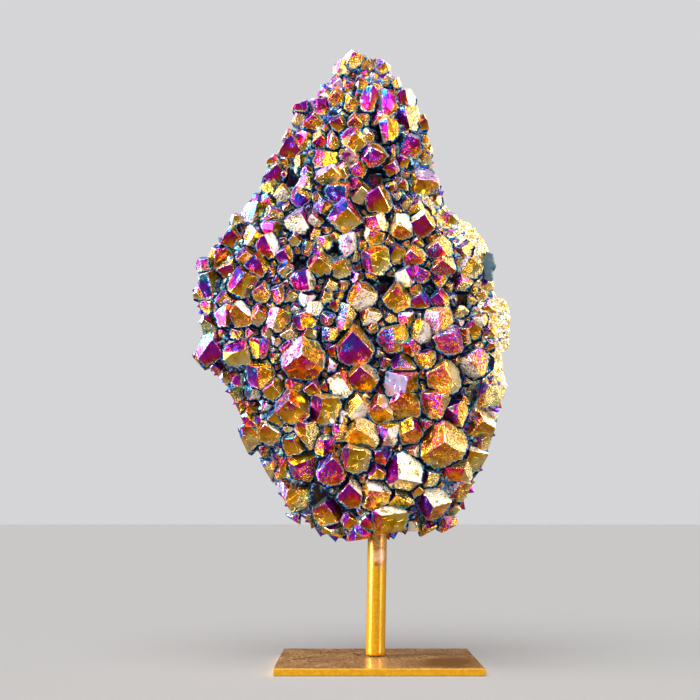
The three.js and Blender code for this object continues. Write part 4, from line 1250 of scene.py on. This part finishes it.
def scatter_tree():
    sheet, given = new_group("Scatter points", "GeometryNodeTree", [
        ("Geometry", "Geometry", None), ("Cover", "String", ""), ("Density", "Float", 1000.0),
        ("Smallest", "Float", 0.001), ("Largest", "Float", 0.002), ("Slender", "Float", 1.3),
        ("Tilt", "Float", 0.5), ("Film Low", "Float", 0.0), ("Film High", "Float", 1.0),
        ("Seed", "Int", 1), ("Finish", "Material", None),
    ], [("Geometry", "Geometry")])
    cover = sheet.add("GeometryNodeInputNamedAttribute", {"Name": given["Cover"]}, data_type="FLOAT")
    spread = sheet.add("GeometryNodeDistributePointsOnFaces", {
        "Mesh": given["Geometry"], "Density": cover * given["Density"], "Seed": given["Seed"],
    })

    def six_sided(top, bottom, depth):
        return sheet.add("GeometryNodeMeshCone", {
            "Vertices": CRYSTAL_SIDES, "Side Segments": 1,
            "Radius Top": top, "Radius Bottom": bottom, "Depth": depth,
        }, fill_type="NONE")

    stem = sheet.add("GeometryNodeTransform", {
        "Geometry": six_sided(1.0, STEM_TAPER, STEM_HEIGHT), "Translation": (0, 0, -STEM_HEIGHT),
    })
    point = sheet.add("GeometryNodeJoinGeometry", {0: six_sided(0.0, 1.0, 1.0)})
    sheet.feed(stem, point.node.inputs[0])
    marked = sheet.add("GeometryNodeStoreNamedAttribute", {
        "Geometry": point, "Name": "rise", "Value": sheet.axes(sheet.add("GeometryNodeInputPosition"))["Z"],
    }, data_type="FLOAT", domain="POINT")
    turn = sheet.add("ShaderNodeCombineXYZ", {0: given["Tilt"], 1: given["Tilt"], 2: math.pi})
    back = sheet.add("ShaderNodeVectorMath", {0: turn, "Scale": -1.0}, operation="SCALE")
    tilt = sheet.add("FunctionNodeRandomValue", {
        "Min": back, "Max": turn, "Seed": given["Seed"],
    }, data_type="FLOAT_VECTOR")
    turned = sheet.add("FunctionNodeRotateRotation", {
        "Rotation": spread["Rotation"], "Rotate By": tilt,
    }, rotation_space="LOCAL")

    def random_number(low, high):
        inputs = {2: given[low], 3: given[high], "Seed": given["Seed"]}
        return sheet.add("FunctionNodeRandomValue", inputs, data_type="FLOAT")[1]

    size = random_number("Smallest", "Largest")
    planted = sheet.add("GeometryNodeInstanceOnPoints", {
        "Points": spread["Points"], "Instance": marked, "Rotation": turned,
        "Scale": sheet.add("ShaderNodeCombineXYZ", {0: size, 1: size, 2: size * given["Slender"]}),
    })
    filmed = sheet.add("GeometryNodeStoreNamedAttribute", {
        "Geometry": planted, "Name": "film", "Value": random_number("Film Low", "Film High"),
    }, data_type="FLOAT", domain="INSTANCE")
    real = sheet.add("GeometryNodeRealizeInstances", {"Geometry": filmed})
    finished = sheet.add("GeometryNodeSetMaterial", {"Geometry": real, "Material": given["Finish"]})
    sheet.add("NodeGroupOutput", {0: finished})
    return sheet.tree


# %% Growing the small points
def scattered(name, tree, inputs):
    """The plain mesh object that the tree grows on the rock with these inputs."""
    modifier = rock.modifiers.new(name, "NODES")
    modifier.node_group = tree
    for label, value in inputs.items():
        modifier[tree.interface.items_tree[label].identifier] = value
    grown = rock.evaluated_get(bpy.context.evaluated_depsgraph_get())
    mesh = bpy.data.meshes.new_from_object(grown)
    rock.modifiers.remove(modifier)
    mesh.name = name
    print(name, "faces:", len(mesh.polygons))
    return linked_object(name, mesh)


points_tree = scatter_tree()
gap_points = scattered("druse_gap_points", points_tree, {
    "Cover": "gap_cover", "Density": 130000.0, "Smallest": 0.0008, "Largest": 0.0022, "Slender": 1.3,
    "Tilt": 0.7, "Film Low": 0.66, "Film High": 0.98, "Seed": 3, "Finish": gap_finish,
})
side_points = scattered("druse_side_points", points_tree, {
    "Cover": "side_cover", "Density": 60000.0, "Smallest": 0.0012, "Largest": 0.004, "Slender": 1.3,
    "Tilt": 0.5, "Film Low": 0.0, "Film High": 0.75, "Seed": 5, "Finish": side_finish,
})
sugar_grains = scattered("druse_sugar_grains", points_tree, {
    "Cover": "sugar_cover", "Density": 900000.0, "Smallest": 0.0004, "Largest": 0.0012, "Slender": 1.2,
    "Tilt": 0.9, "Film Low": -0.3, "Film High": 0.14, "Seed": 8, "Finish": sugar_finish,
})

# %% [markdown]
# ## The bare chip
# At the right rim a splinter of cloudy quartz has no film and looks grey blue. It is small, so its outline
# was read and given a thickness, and its front edge a chamfer. It lets part of the light through, bent as
# quartz bends it.

# %% Bare chip
SPLINTER_OUTLINE = [
    (485, 254), (492, 257), (493, 263), (495, 268), (494, 271), (491, 272), (492, 280), (490, 287),
    (485, 289), (480, 270),
]
SPLINTER_FRONT, SPLINTER_BACK, SPLINTER_CHAMFER = 5, 13, 0.9
DARK_QUARTZ, PALE_QUARTZ = (0.03, 0.07, 0.1, 1), (0.12, 0.2, 0.25, 1)
CLOUD_GRAIN, DENT_GRAIN, QUARTZ_IOR = 0.003, 0.002, 1.54


def finished_object(name, work):
    """The object of a working mesh, which is let go."""
    mesh = bpy.data.meshes.new(name)
    work.to_mesh(mesh)
    work.free()
    return linked_object(name, mesh)


def splinter(name, outline, front, back):
    """A plate with a chamfered front between two depths."""
    work = bmesh.new()
    corners = [work.verts.new(sight_point(across, down, back) * MM) for across, down in outline]
    raised = bmesh.ops.extrude_face_region(work, geom=[work.faces.new(corners)])["geom"]
    for vert in [item for item in raised if isinstance(item, bmesh.types.BMVert)]:
        vert.co.y = front * MM
    face = [item for item in raised if isinstance(item, bmesh.types.BMFace)][0]
    border, chamfer = list(face.edges), SPLINTER_CHAMFER * MM
    bmesh.ops.bevel(work, geom=border, offset=chamfer, segments=1, affect="EDGES", clamp_overlap=True)
    bmesh.ops.recalc_face_normals(work, faces=work.faces)
    return finished_object(name, work)


def bare_finish():
    finish, sheet = new_finish("aura_bare_quartz")
    sheet.shade({
        "Base Color": sheet.blend(sheet.grain(CLOUD_GRAIN, 3.0), DARK_QUARTZ, PALE_QUARTZ),
        "Normal": sheet.bump(0.5, SKIN_BUMP, sheet.grain(DENT_GRAIN)),
        "Roughness": 0.3,
        "Transmission Weight": 0.4,
        "IOR": QUARTZ_IOR,
    })
    return finish


bare_chip = splinter("druse_bare_chip", SPLINTER_OUTLINE, SPLINTER_FRONT, SPLINTER_BACK)
bare_chip.data.materials.append(bare_finish())
print("chip faces:", len(bare_chip.data.polygons))

# %% [markdown]
# ## The gold stand
# The rod is a plain round bar and the base a square of sheet, both painted gold. The construction's rod has
# flat sides, so a rounder one is turned here on the same axis, and the base is a box with softly rounded
# edges. Their sizes come from the frame.

# %% Rod
ROD_FOOT = Vector((-0.8, 9.0, 4.05)) * MM
ROD_LEAN = 0.02
ROD_SEGMENTS, ROD_RINGS = 96, 60
ROD_ROUND = 0.4 * MM
WELD_DISTANCE = 1e-7
rod_low, rod_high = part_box("rod")
rod_radius = (rod_high.y - rod_low.y) / 2
rod_length = (rod_high.z - ROD_FOOT.z - rod_radius * math.sin(ROD_LEAN)) / math.cos(ROD_LEAN)


def turned_bar(name, radius, length, rounding, placed):
    """A round bar with rounded ends along Z, moved to its place."""
    straight = length - 2 * rounding
    profile = [(0, 0), (radius - rounding, 0)]
    profile += [(radius, rounding + straight * step / ROD_RINGS) for step in range(ROD_RINGS + 1)]
    profile += [(radius - rounding, length), (0, length)]
    work = bmesh.new()
    corners = [work.verts.new((across, 0, up)) for across, up in profile]
    edges = [work.edges.new(pair) for pair in zip(corners, corners[1:])]
    bmesh.ops.spin(
        work, geom=corners + edges, axis=(0, 0, 1), cent=(0, 0, 0), steps=ROD_SEGMENTS, angle=2 * math.pi,
    )
    bmesh.ops.remove_doubles(work, verts=work.verts, dist=WELD_DISTANCE)
    bmesh.ops.recalc_face_normals(work, faces=work.faces)
    bmesh.ops.transform(work, matrix=placed, verts=work.verts)
    bar = finished_object(name, work)
    bar.data.shade_smooth()
    return bar


rod_place = Matrix.Translation(ROD_FOOT) @ Matrix.Rotation(ROD_LEAN, 4, "Y")
rod = turned_bar("gold_rod", rod_radius, rod_length, ROD_ROUND, rod_place)
print("rod radius and length in metres:", round(rod_radius, 4), round(rod_length, 4))

# %% Base plate
PLATE_ROUND, PLATE_ROUND_STEPS = 0.5 * MM, 3
plate_low, plate_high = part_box("base_plate")


def rounded_plate(name, low, high):
    work = bmesh.new()
    bmesh.ops.create_cube(work, size=1)
    bmesh.ops.scale(work, vec=high - low, verts=work.verts)
    bmesh.ops.translate(work, vec=(low + high) / 2, verts=work.verts)
    bmesh.ops.bevel(
        work, geom=work.edges, offset=PLATE_ROUND, segments=PLATE_ROUND_STEPS, affect="EDGES", profile=0.5,
    )
    return finished_object(name, work)


plate = rounded_plate("gold_base_plate", plate_low, plate_high)
print("plate faces:", len(plate.data.polygons))

# %% [markdown]
# ## Gold paint
# Rod and base carry the same gold paint. On the rod it is smooth satin. On top of the base it lies over a
# grainy coppery ground that sparkles; its coppery tone is partly the paint and partly a painted reflection
# of the dark room that the top mirrors. The top also has two dark streaks and a smooth amber patch, which
# is a painted dark reflection, and a clear layer mirrors the rod's foot. One node group gives grain and
# bump, and each finish places it with its own sizes.
# At the top of the rod, glue has smeared the paint brown and pinkish on the right. The marks were found in
# the picture, so their places are written in picture units.

# %% Gold paint group
GOLD, DEEP_GOLD = (0.78, 0.4, 0.012, 1), (0.66, 0.3, 0.008, 1)
PAINT_BUMP = 0.0002
SPECKLE_RANGE = (0.38, 0.66)


def paint_group():
    sheet, given = new_group("Gold paint", "ShaderNodeTree", [
        ("Light", "Color", GOLD), ("Dark", "Color", DEEP_GOLD), ("Grain Size", "Float", 0.0006),
    ], [("Color", "Color"), ("Height", "Float")])
    fine = sheet.add("ShaderNodeTexNoise", {
        "Vector": sheet.place(), "Scale": 1.0 / given["Grain Size"], "Detail": 3.0,
    })
    speckle = sheet.remap(fine, *SPECKLE_RANGE)
    colour = sheet.blend(speckle, given["Dark"], given["Light"])
    sheet.add("NodeGroupOutput", {"Color": colour, "Height": fine})
    return sheet.tree


gold_paint = paint_group()
print("gold paint sockets:", len(gold_paint.interface.items_tree))

# %% Rod finish
GLUE_LOW, GLUE_HIGH = (376, 570), (376, 562)
GLUE_SIDE = (-0.004, -0.002)
GLUE_EDGE_GRAIN, GLUE_RAGGED = 0.004, 0.012
GLUE_GAP_GRAIN, GLUE_GAP_RANGE = 0.0022, (0.3, 0.5)
GLUE_SPOT_GRAIN, GLUE_SPOT_RANGE = 0.0009, (0.4, 0.6)
GLUE_LUMP_GRAIN, GLUE_LUMPS = 0.0012, 5.0
PAINT_ROUGH, GLUE_ROUGH = 0.28, 0.2
BROWN_GLUE, TAN_GLUE = (0.3, 0.11, 0.02, 1), (0.75, 0.4, 0.12, 1)
PALE_SPOT, PALE_INNER, PALE_OUTER, PALE_COLOUR = (380, 556), 0.0018, 0.0042, (0.85, 0.5, 0.32, 1)
RED_SPOT, RED_INNER, RED_OUTER, RED_COLOUR = (376, 564), 0.0006, 0.0014, (0.5, 0.1, 0.02, 1)
rod_front = (ROD_FOOT.y - rod_radius) / MM


def on_rod(place):
    return Vector(sight_point(*place, rod_front)) * MM


def spot_mask(sheet, middle, inner, outer):
    """1 near a place in metres, 0 further off, with a soft border between two distances."""
    return sheet.remap(sheet.vectors("DISTANCE", sheet.place(), middle)["Value"], outer, inner)


def rod_finish():
    finish, sheet = new_finish("gold_rod")
    axes = sheet.axes(sheet.place())
    paint = sheet.group(gold_paint, {"Light": GOLD, "Dark": DEEP_GOLD, "Grain Size": 0.0011})
    ragged = axes["Z"] + (sheet.grain(GLUE_EDGE_GRAIN, 4.0) - 0.5) * GLUE_RAGGED
    smear = sheet.remap(ragged, on_rod(GLUE_LOW).z, on_rod(GLUE_HIGH).z)
    smear = smear * sheet.remap(axes["X"], *GLUE_SIDE)
    smear = smear * sheet.remap(sheet.grain(GLUE_GAP_GRAIN, 3.0), *GLUE_GAP_RANGE)
    spots = sheet.remap(sheet.grain(GLUE_SPOT_GRAIN, 3.0), *GLUE_SPOT_RANGE)
    glue = sheet.blend(spots, BROWN_GLUE, TAN_GLUE)
    glue = sheet.blend(spot_mask(sheet, on_rod(PALE_SPOT), PALE_INNER, PALE_OUTER), glue, PALE_COLOUR)
    colour = sheet.blend(smear, paint["Color"], glue)
    red = spot_mask(sheet, on_rod(RED_SPOT), RED_INNER, RED_OUTER)
    lumps = smear * sheet.grain(GLUE_LUMP_GRAIN)
    sheet.shade({
        "Base Color": sheet.blend(red, colour, RED_COLOUR),
        "Roughness": smear * GLUE_ROUGH + PAINT_ROUGH,
        "Normal": sheet.bump(0.12, PAINT_BUMP, paint["Height"] + lumps * GLUE_LUMPS),
        "Metallic": 0.5,
        "Coat Weight": 0.25,
        "Coat Roughness": 0.12,
    })
    return finish


rod.data.materials.append(rod_finish())
print("rod finish:", rod.data.materials[0].name)

# %% Plate finish
COPPER_AND_REFLECTION, DARK_COPPER_AND_REFLECTION = (1.0, 0.56, 0.22, 1), (0.18, 0.055, 0.012, 1)
TOP_RANGE, EDGE_ROUGH, TOP_ROUGH = (0.85, 0.97), 0.22, 0.34
SLOW_GRAIN, SLOW_RANGE = 0.02, (0.35, 0.65, 0.65, 1.0)
DARK_STREAKS = [((281, 661.5), (320, 656), 0.0014), ((353, 653), (362, 656.5), 0.0012)]
STREAK_COLOUR, STREAK_SHARE = (0.03, 0.01, 0.003, 1), 0.95
STREAK_CORE, STREAK_BEGUN, STREAK_FADES = 0.2, 0.2, 0.6
AMBER_REFLECTION_PLACE, AMBER_STRETCH = (448, 662.5), Vector((1.2, 0.9, 1.0))
AMBER_INNER, AMBER_OUTER, AMBER_GRAIN, AMBER_WAVES = 0.012, 0.029, 0.008, 0.03
AMBER_REFLECTION_COLOUR, AMBER_REFLECTION_SHARE = (0.2, 0.072, 0.004, 1), 0.92


def on_plate(place):
    """Where the sight line through a picture place meets the top of the base, in metres."""
    sight = sight_point(*place, 0) - EYE
    return Vector(EYE + sight * (plate_high.z / MM - EYE[2]) / sight[2]) * MM


def streak_mask(sheet, start, end, half_width):
    """1 along a thin line on the base's top, fading at its sides and ends."""
    length = (end - start).length
    way = (end - start).normalized()
    offset = sheet.vectors("SUBTRACT", sheet.place(), start)
    far = sheet.vectors("DOT_PRODUCT", offset, way)["Value"]
    wide = sheet.vectors("DOT_PRODUCT", offset, (-way.y, way.x, 0))["Value"]
    beside = sheet.remap(sheet.maths("ABSOLUTE", wide), half_width, STREAK_CORE * half_width)
    begun = sheet.remap(far, 0.0, STREAK_BEGUN * length)
    return beside * begun * sheet.remap(far, length, STREAK_FADES * length)


def plate_finish():
    finish, sheet = new_finish("gold_plate")
    on_top = sheet.remap(sheet.axes(sheet.add("ShaderNodeNewGeometry")["Normal"])["Z"], *TOP_RANGE)
    # The top's coppery tone: partly the paint, partly a painted reflection of the dark room.
    ground = sheet.group(gold_paint, {"Light": COPPER_AND_REFLECTION, "Dark": DARK_COPPER_AND_REFLECTION, "Grain Size": 0.0013})
    edge = sheet.group(gold_paint, {"Light": GOLD, "Dark": DEEP_GOLD, "Grain Size": 0.002})
    slow = sheet.remap(sheet.grain(SLOW_GRAIN, 4.0), *SLOW_RANGE)
    colour = sheet.blend(1.0, ground["Color"], slow, "MULTIPLY")
    # A smooth amber patch: a painted dark reflection.
    stretched = sheet.vectors("MULTIPLY", sheet.place(), AMBER_STRETCH)
    away = sheet.vectors("DISTANCE", stretched, on_plate(AMBER_REFLECTION_PLACE) * AMBER_STRETCH)["Value"]
    away = away + (sheet.grain(AMBER_GRAIN, 3.0) - 0.5) * AMBER_WAVES
    patch = sheet.remap(away, AMBER_OUTER, AMBER_INNER)
    colour = sheet.blend(patch * AMBER_REFLECTION_SHARE, colour, AMBER_REFLECTION_COLOUR)
    for start, end, half_width in DARK_STREAKS:
        streak = streak_mask(sheet, on_plate(start), on_plate(end), half_width)
        colour = sheet.blend(streak * STREAK_SHARE, colour, STREAK_COLOUR)
    sheet.shade({
        "Base Color": sheet.blend(on_top, edge["Color"], colour),
        "Roughness": sheet.remap(on_top, 0.0, 1.0, EDGE_ROUGH, TOP_ROUGH),
        "Normal": sheet.bump(0.5, PAINT_BUMP, ground["Height"] * on_top * (1.0 - patch)),
        "Metallic": 0.4,
        "Coat Weight": 0.3,
        "Coat Roughness": 0.1,
    })
    return finish


plate.data.materials.append(plate_finish())
print("plate finish:", plate.data.materials[0].name)

# %% [markdown]
# ## Floor and light
# The stage is plain: a pale floor and soft boxes of light. Polished facets show what they mirror, so the
# boxes are what makes them flash. The rod's two bright lines tell where the side boxes stood, a strong
# narrow one at the left and a weaker one at the right. Dimmer wide boxes stand around them, so that no
# facet mirrors nothing. The boxes are linked to the object alone, and a wide lamp that mirrors do not see
# lights the floor evenly.

# %% Floor
FLOOR_RADIUS, FLOOR_SEGMENTS = 30.0, 96
FLOOR_SEEN, FLOOR_MIRRORED = (0.62, 0.61, 0.6, 1), (0.27, 0.25, 0.22, 1)


def pale_floor():
    work = bmesh.new()
    bmesh.ops.create_circle(work, cap_ends=True, segments=FLOOR_SEGMENTS, radius=FLOOR_RADIUS)
    finish, sheet = new_finish("pale_floor")
    mirrored = sheet.add("ShaderNodeLightPath")["Is Glossy Ray"]
    sheet.shade({
        "Base Color": sheet.blend(mirrored, FLOOR_SEEN, FLOOR_MIRRORED),
        "Roughness": 1.0,
        "Specular IOR Level": 0.0,
    })
    made = finished_object("floor", work)
    made.data.materials.append(finish)
    return made


floor = pale_floor()
print("floor radius in metres:", FLOOR_RADIUS)

# %% Soft boxes
DRUSE_MIDDLE = Vector((0, 0, 0.19))
BOX_DISTANCE = 0.9
GLOW_SCALE = 0.93
druse_pieces = [crystal_points, rock, gap_points, side_points, sugar_grains, bare_chip]


def lit_group(name, pieces):
    """A collection of the pieces that a lamp lights."""
    group = bpy.data.collections.new(name)
    for piece in pieces:
        group.objects.link(piece)
    return group


lit_druse = lit_group("lit_druse", druse_pieces)
lit_object = lit_group("lit_object", druse_pieces + [rod, plate])
lit_stage = lit_group("lit_stage", [floor, rod, plate])
SOFT_BOXES = [
    ("left_box", -72, 8, (0.3, 0.9), 30.0, lit_object),
    ("left_wide_box", -88, 20, (0.9, 0.9), 1.1, lit_object),
    ("left_rear_box", -124, 22, (0.4, 0.6), 12.0, lit_druse),
    ("right_box", 55, 6, (0.22, 0.8), 14.0, lit_object),
    ("right_wide_box", 92, 15, (0.9, 0.9), 0.8, lit_object),
    ("right_rear_box", 120, 24, (0.4, 0.6), 10.0, lit_druse),
    ("top_box", -20, 66, (0.6, 0.4), 16.0, lit_druse),
    ("top_wide_box", 10, 75, (0.9, 0.9), 1.0, lit_object),
    ("front_box", 0, 35, (0.8, 0.5), 0.6, lit_object),
    ("low_box", 14, -12, (0.3, 0.24), 12.0, lit_druse),
    ("back_box", 170, 25, (0.9, 0.6), 1.8, lit_druse),
]


def soft_box(name, turn, lift, size, glow, lit):
    """An area lamp aimed at the druse.

    Turn is in degrees to the right of the eye, and lift in degrees above level.
    """
    data = bpy.data.lights.new(name, "AREA")
    data.shape = "RECTANGLE"
    data.size, data.size_y = size
    data.energy = GLOW_SCALE * glow * math.pi * size[0] * size[1]
    lamp = linked_object(name, data)
    turn, lift = math.radians(turn), math.radians(lift)
    way = Vector((math.sin(turn) * math.cos(lift), -math.cos(turn) * math.cos(lift), math.sin(lift)))
    lamp.location = DRUSE_MIDDLE + BOX_DISTANCE * way
    lamp.rotation_euler = (-way).to_track_quat("-Z", "Y").to_euler()
    lamp.visible_camera = False
    lamp.light_linking.receiver_collection = lit


for row in SOFT_BOXES:
    soft_box(*row)
print("soft boxes:", len(SOFT_BOXES))

# %% Wide lamp
SKY_STRENGTH, SKY_SPREAD = 3.0, 70
SKY_TILT, SKY_LEAN = 20, -12
sky_data = bpy.data.lights.new("sky", "SUN")
sky_data.energy = SKY_STRENGTH
sky_data.angle = math.radians(SKY_SPREAD)
sky = linked_object("sky", sky_data)
sky.rotation_euler = (math.radians(SKY_TILT), math.radians(SKY_LEAN), 0)
sky.visible_glossy = False
sky.light_linking.receiver_collection = lit_stage
print("wide lamp strength:", sky_data.energy)

# %% World
ROOM_TINT, BACKDROP_TINT = (1, 0.97, 0.94, 1), (0.98, 0.98, 1, 1)
ROOM_TURN = (0.2, -0.8)


def studio_room(seen, front, behind):
    """A room that is brighter on the eye's side. The camera sees a pale backdrop in its place."""
    world = bpy.data.worlds.new("room")
    world.use_nodes = True
    world.node_tree.nodes.clear()
    sheet = Sheet(world.node_tree)
    way = sheet.axes(sheet.add("ShaderNodeTexCoord")["Generated"])
    glow = sheet.remap(way["Y"], *ROOM_TURN, behind, front)
    room = sheet.add("ShaderNodeBackground", {"Color": ROOM_TINT, "Strength": glow})
    backdrop = sheet.add("ShaderNodeBackground", {"Color": BACKDROP_TINT, "Strength": seen})
    ray = sheet.add("ShaderNodeLightPath")["Is Camera Ray"]
    both = sheet.add("ShaderNodeMixShader", {0: ray, 1: room, 2: backdrop})
    sheet.add("ShaderNodeOutputWorld", {"Surface": both})
    return world


scene.world = studio_room(seen=0.68, front=0.12, behind=0.05)
scene.view_settings.view_transform = "Standard"
print("world:", scene.world.name)

# %% [markdown]
# ## Hanging the pieces on the body
# Each mesh is hung under the root body, and the construction part that it stands for is hidden.

# %% Pieces
SLOTS = {
    "druse": ("aura_crystal", druse_pieces),
    "rod": ("gold_rod", [rod]),
    "base_plate": ("gold_plate", [plate]),
}
for node, (slot, made) in SLOTS.items():
    for piece in made:
        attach(piece, "root")
        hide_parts(node)
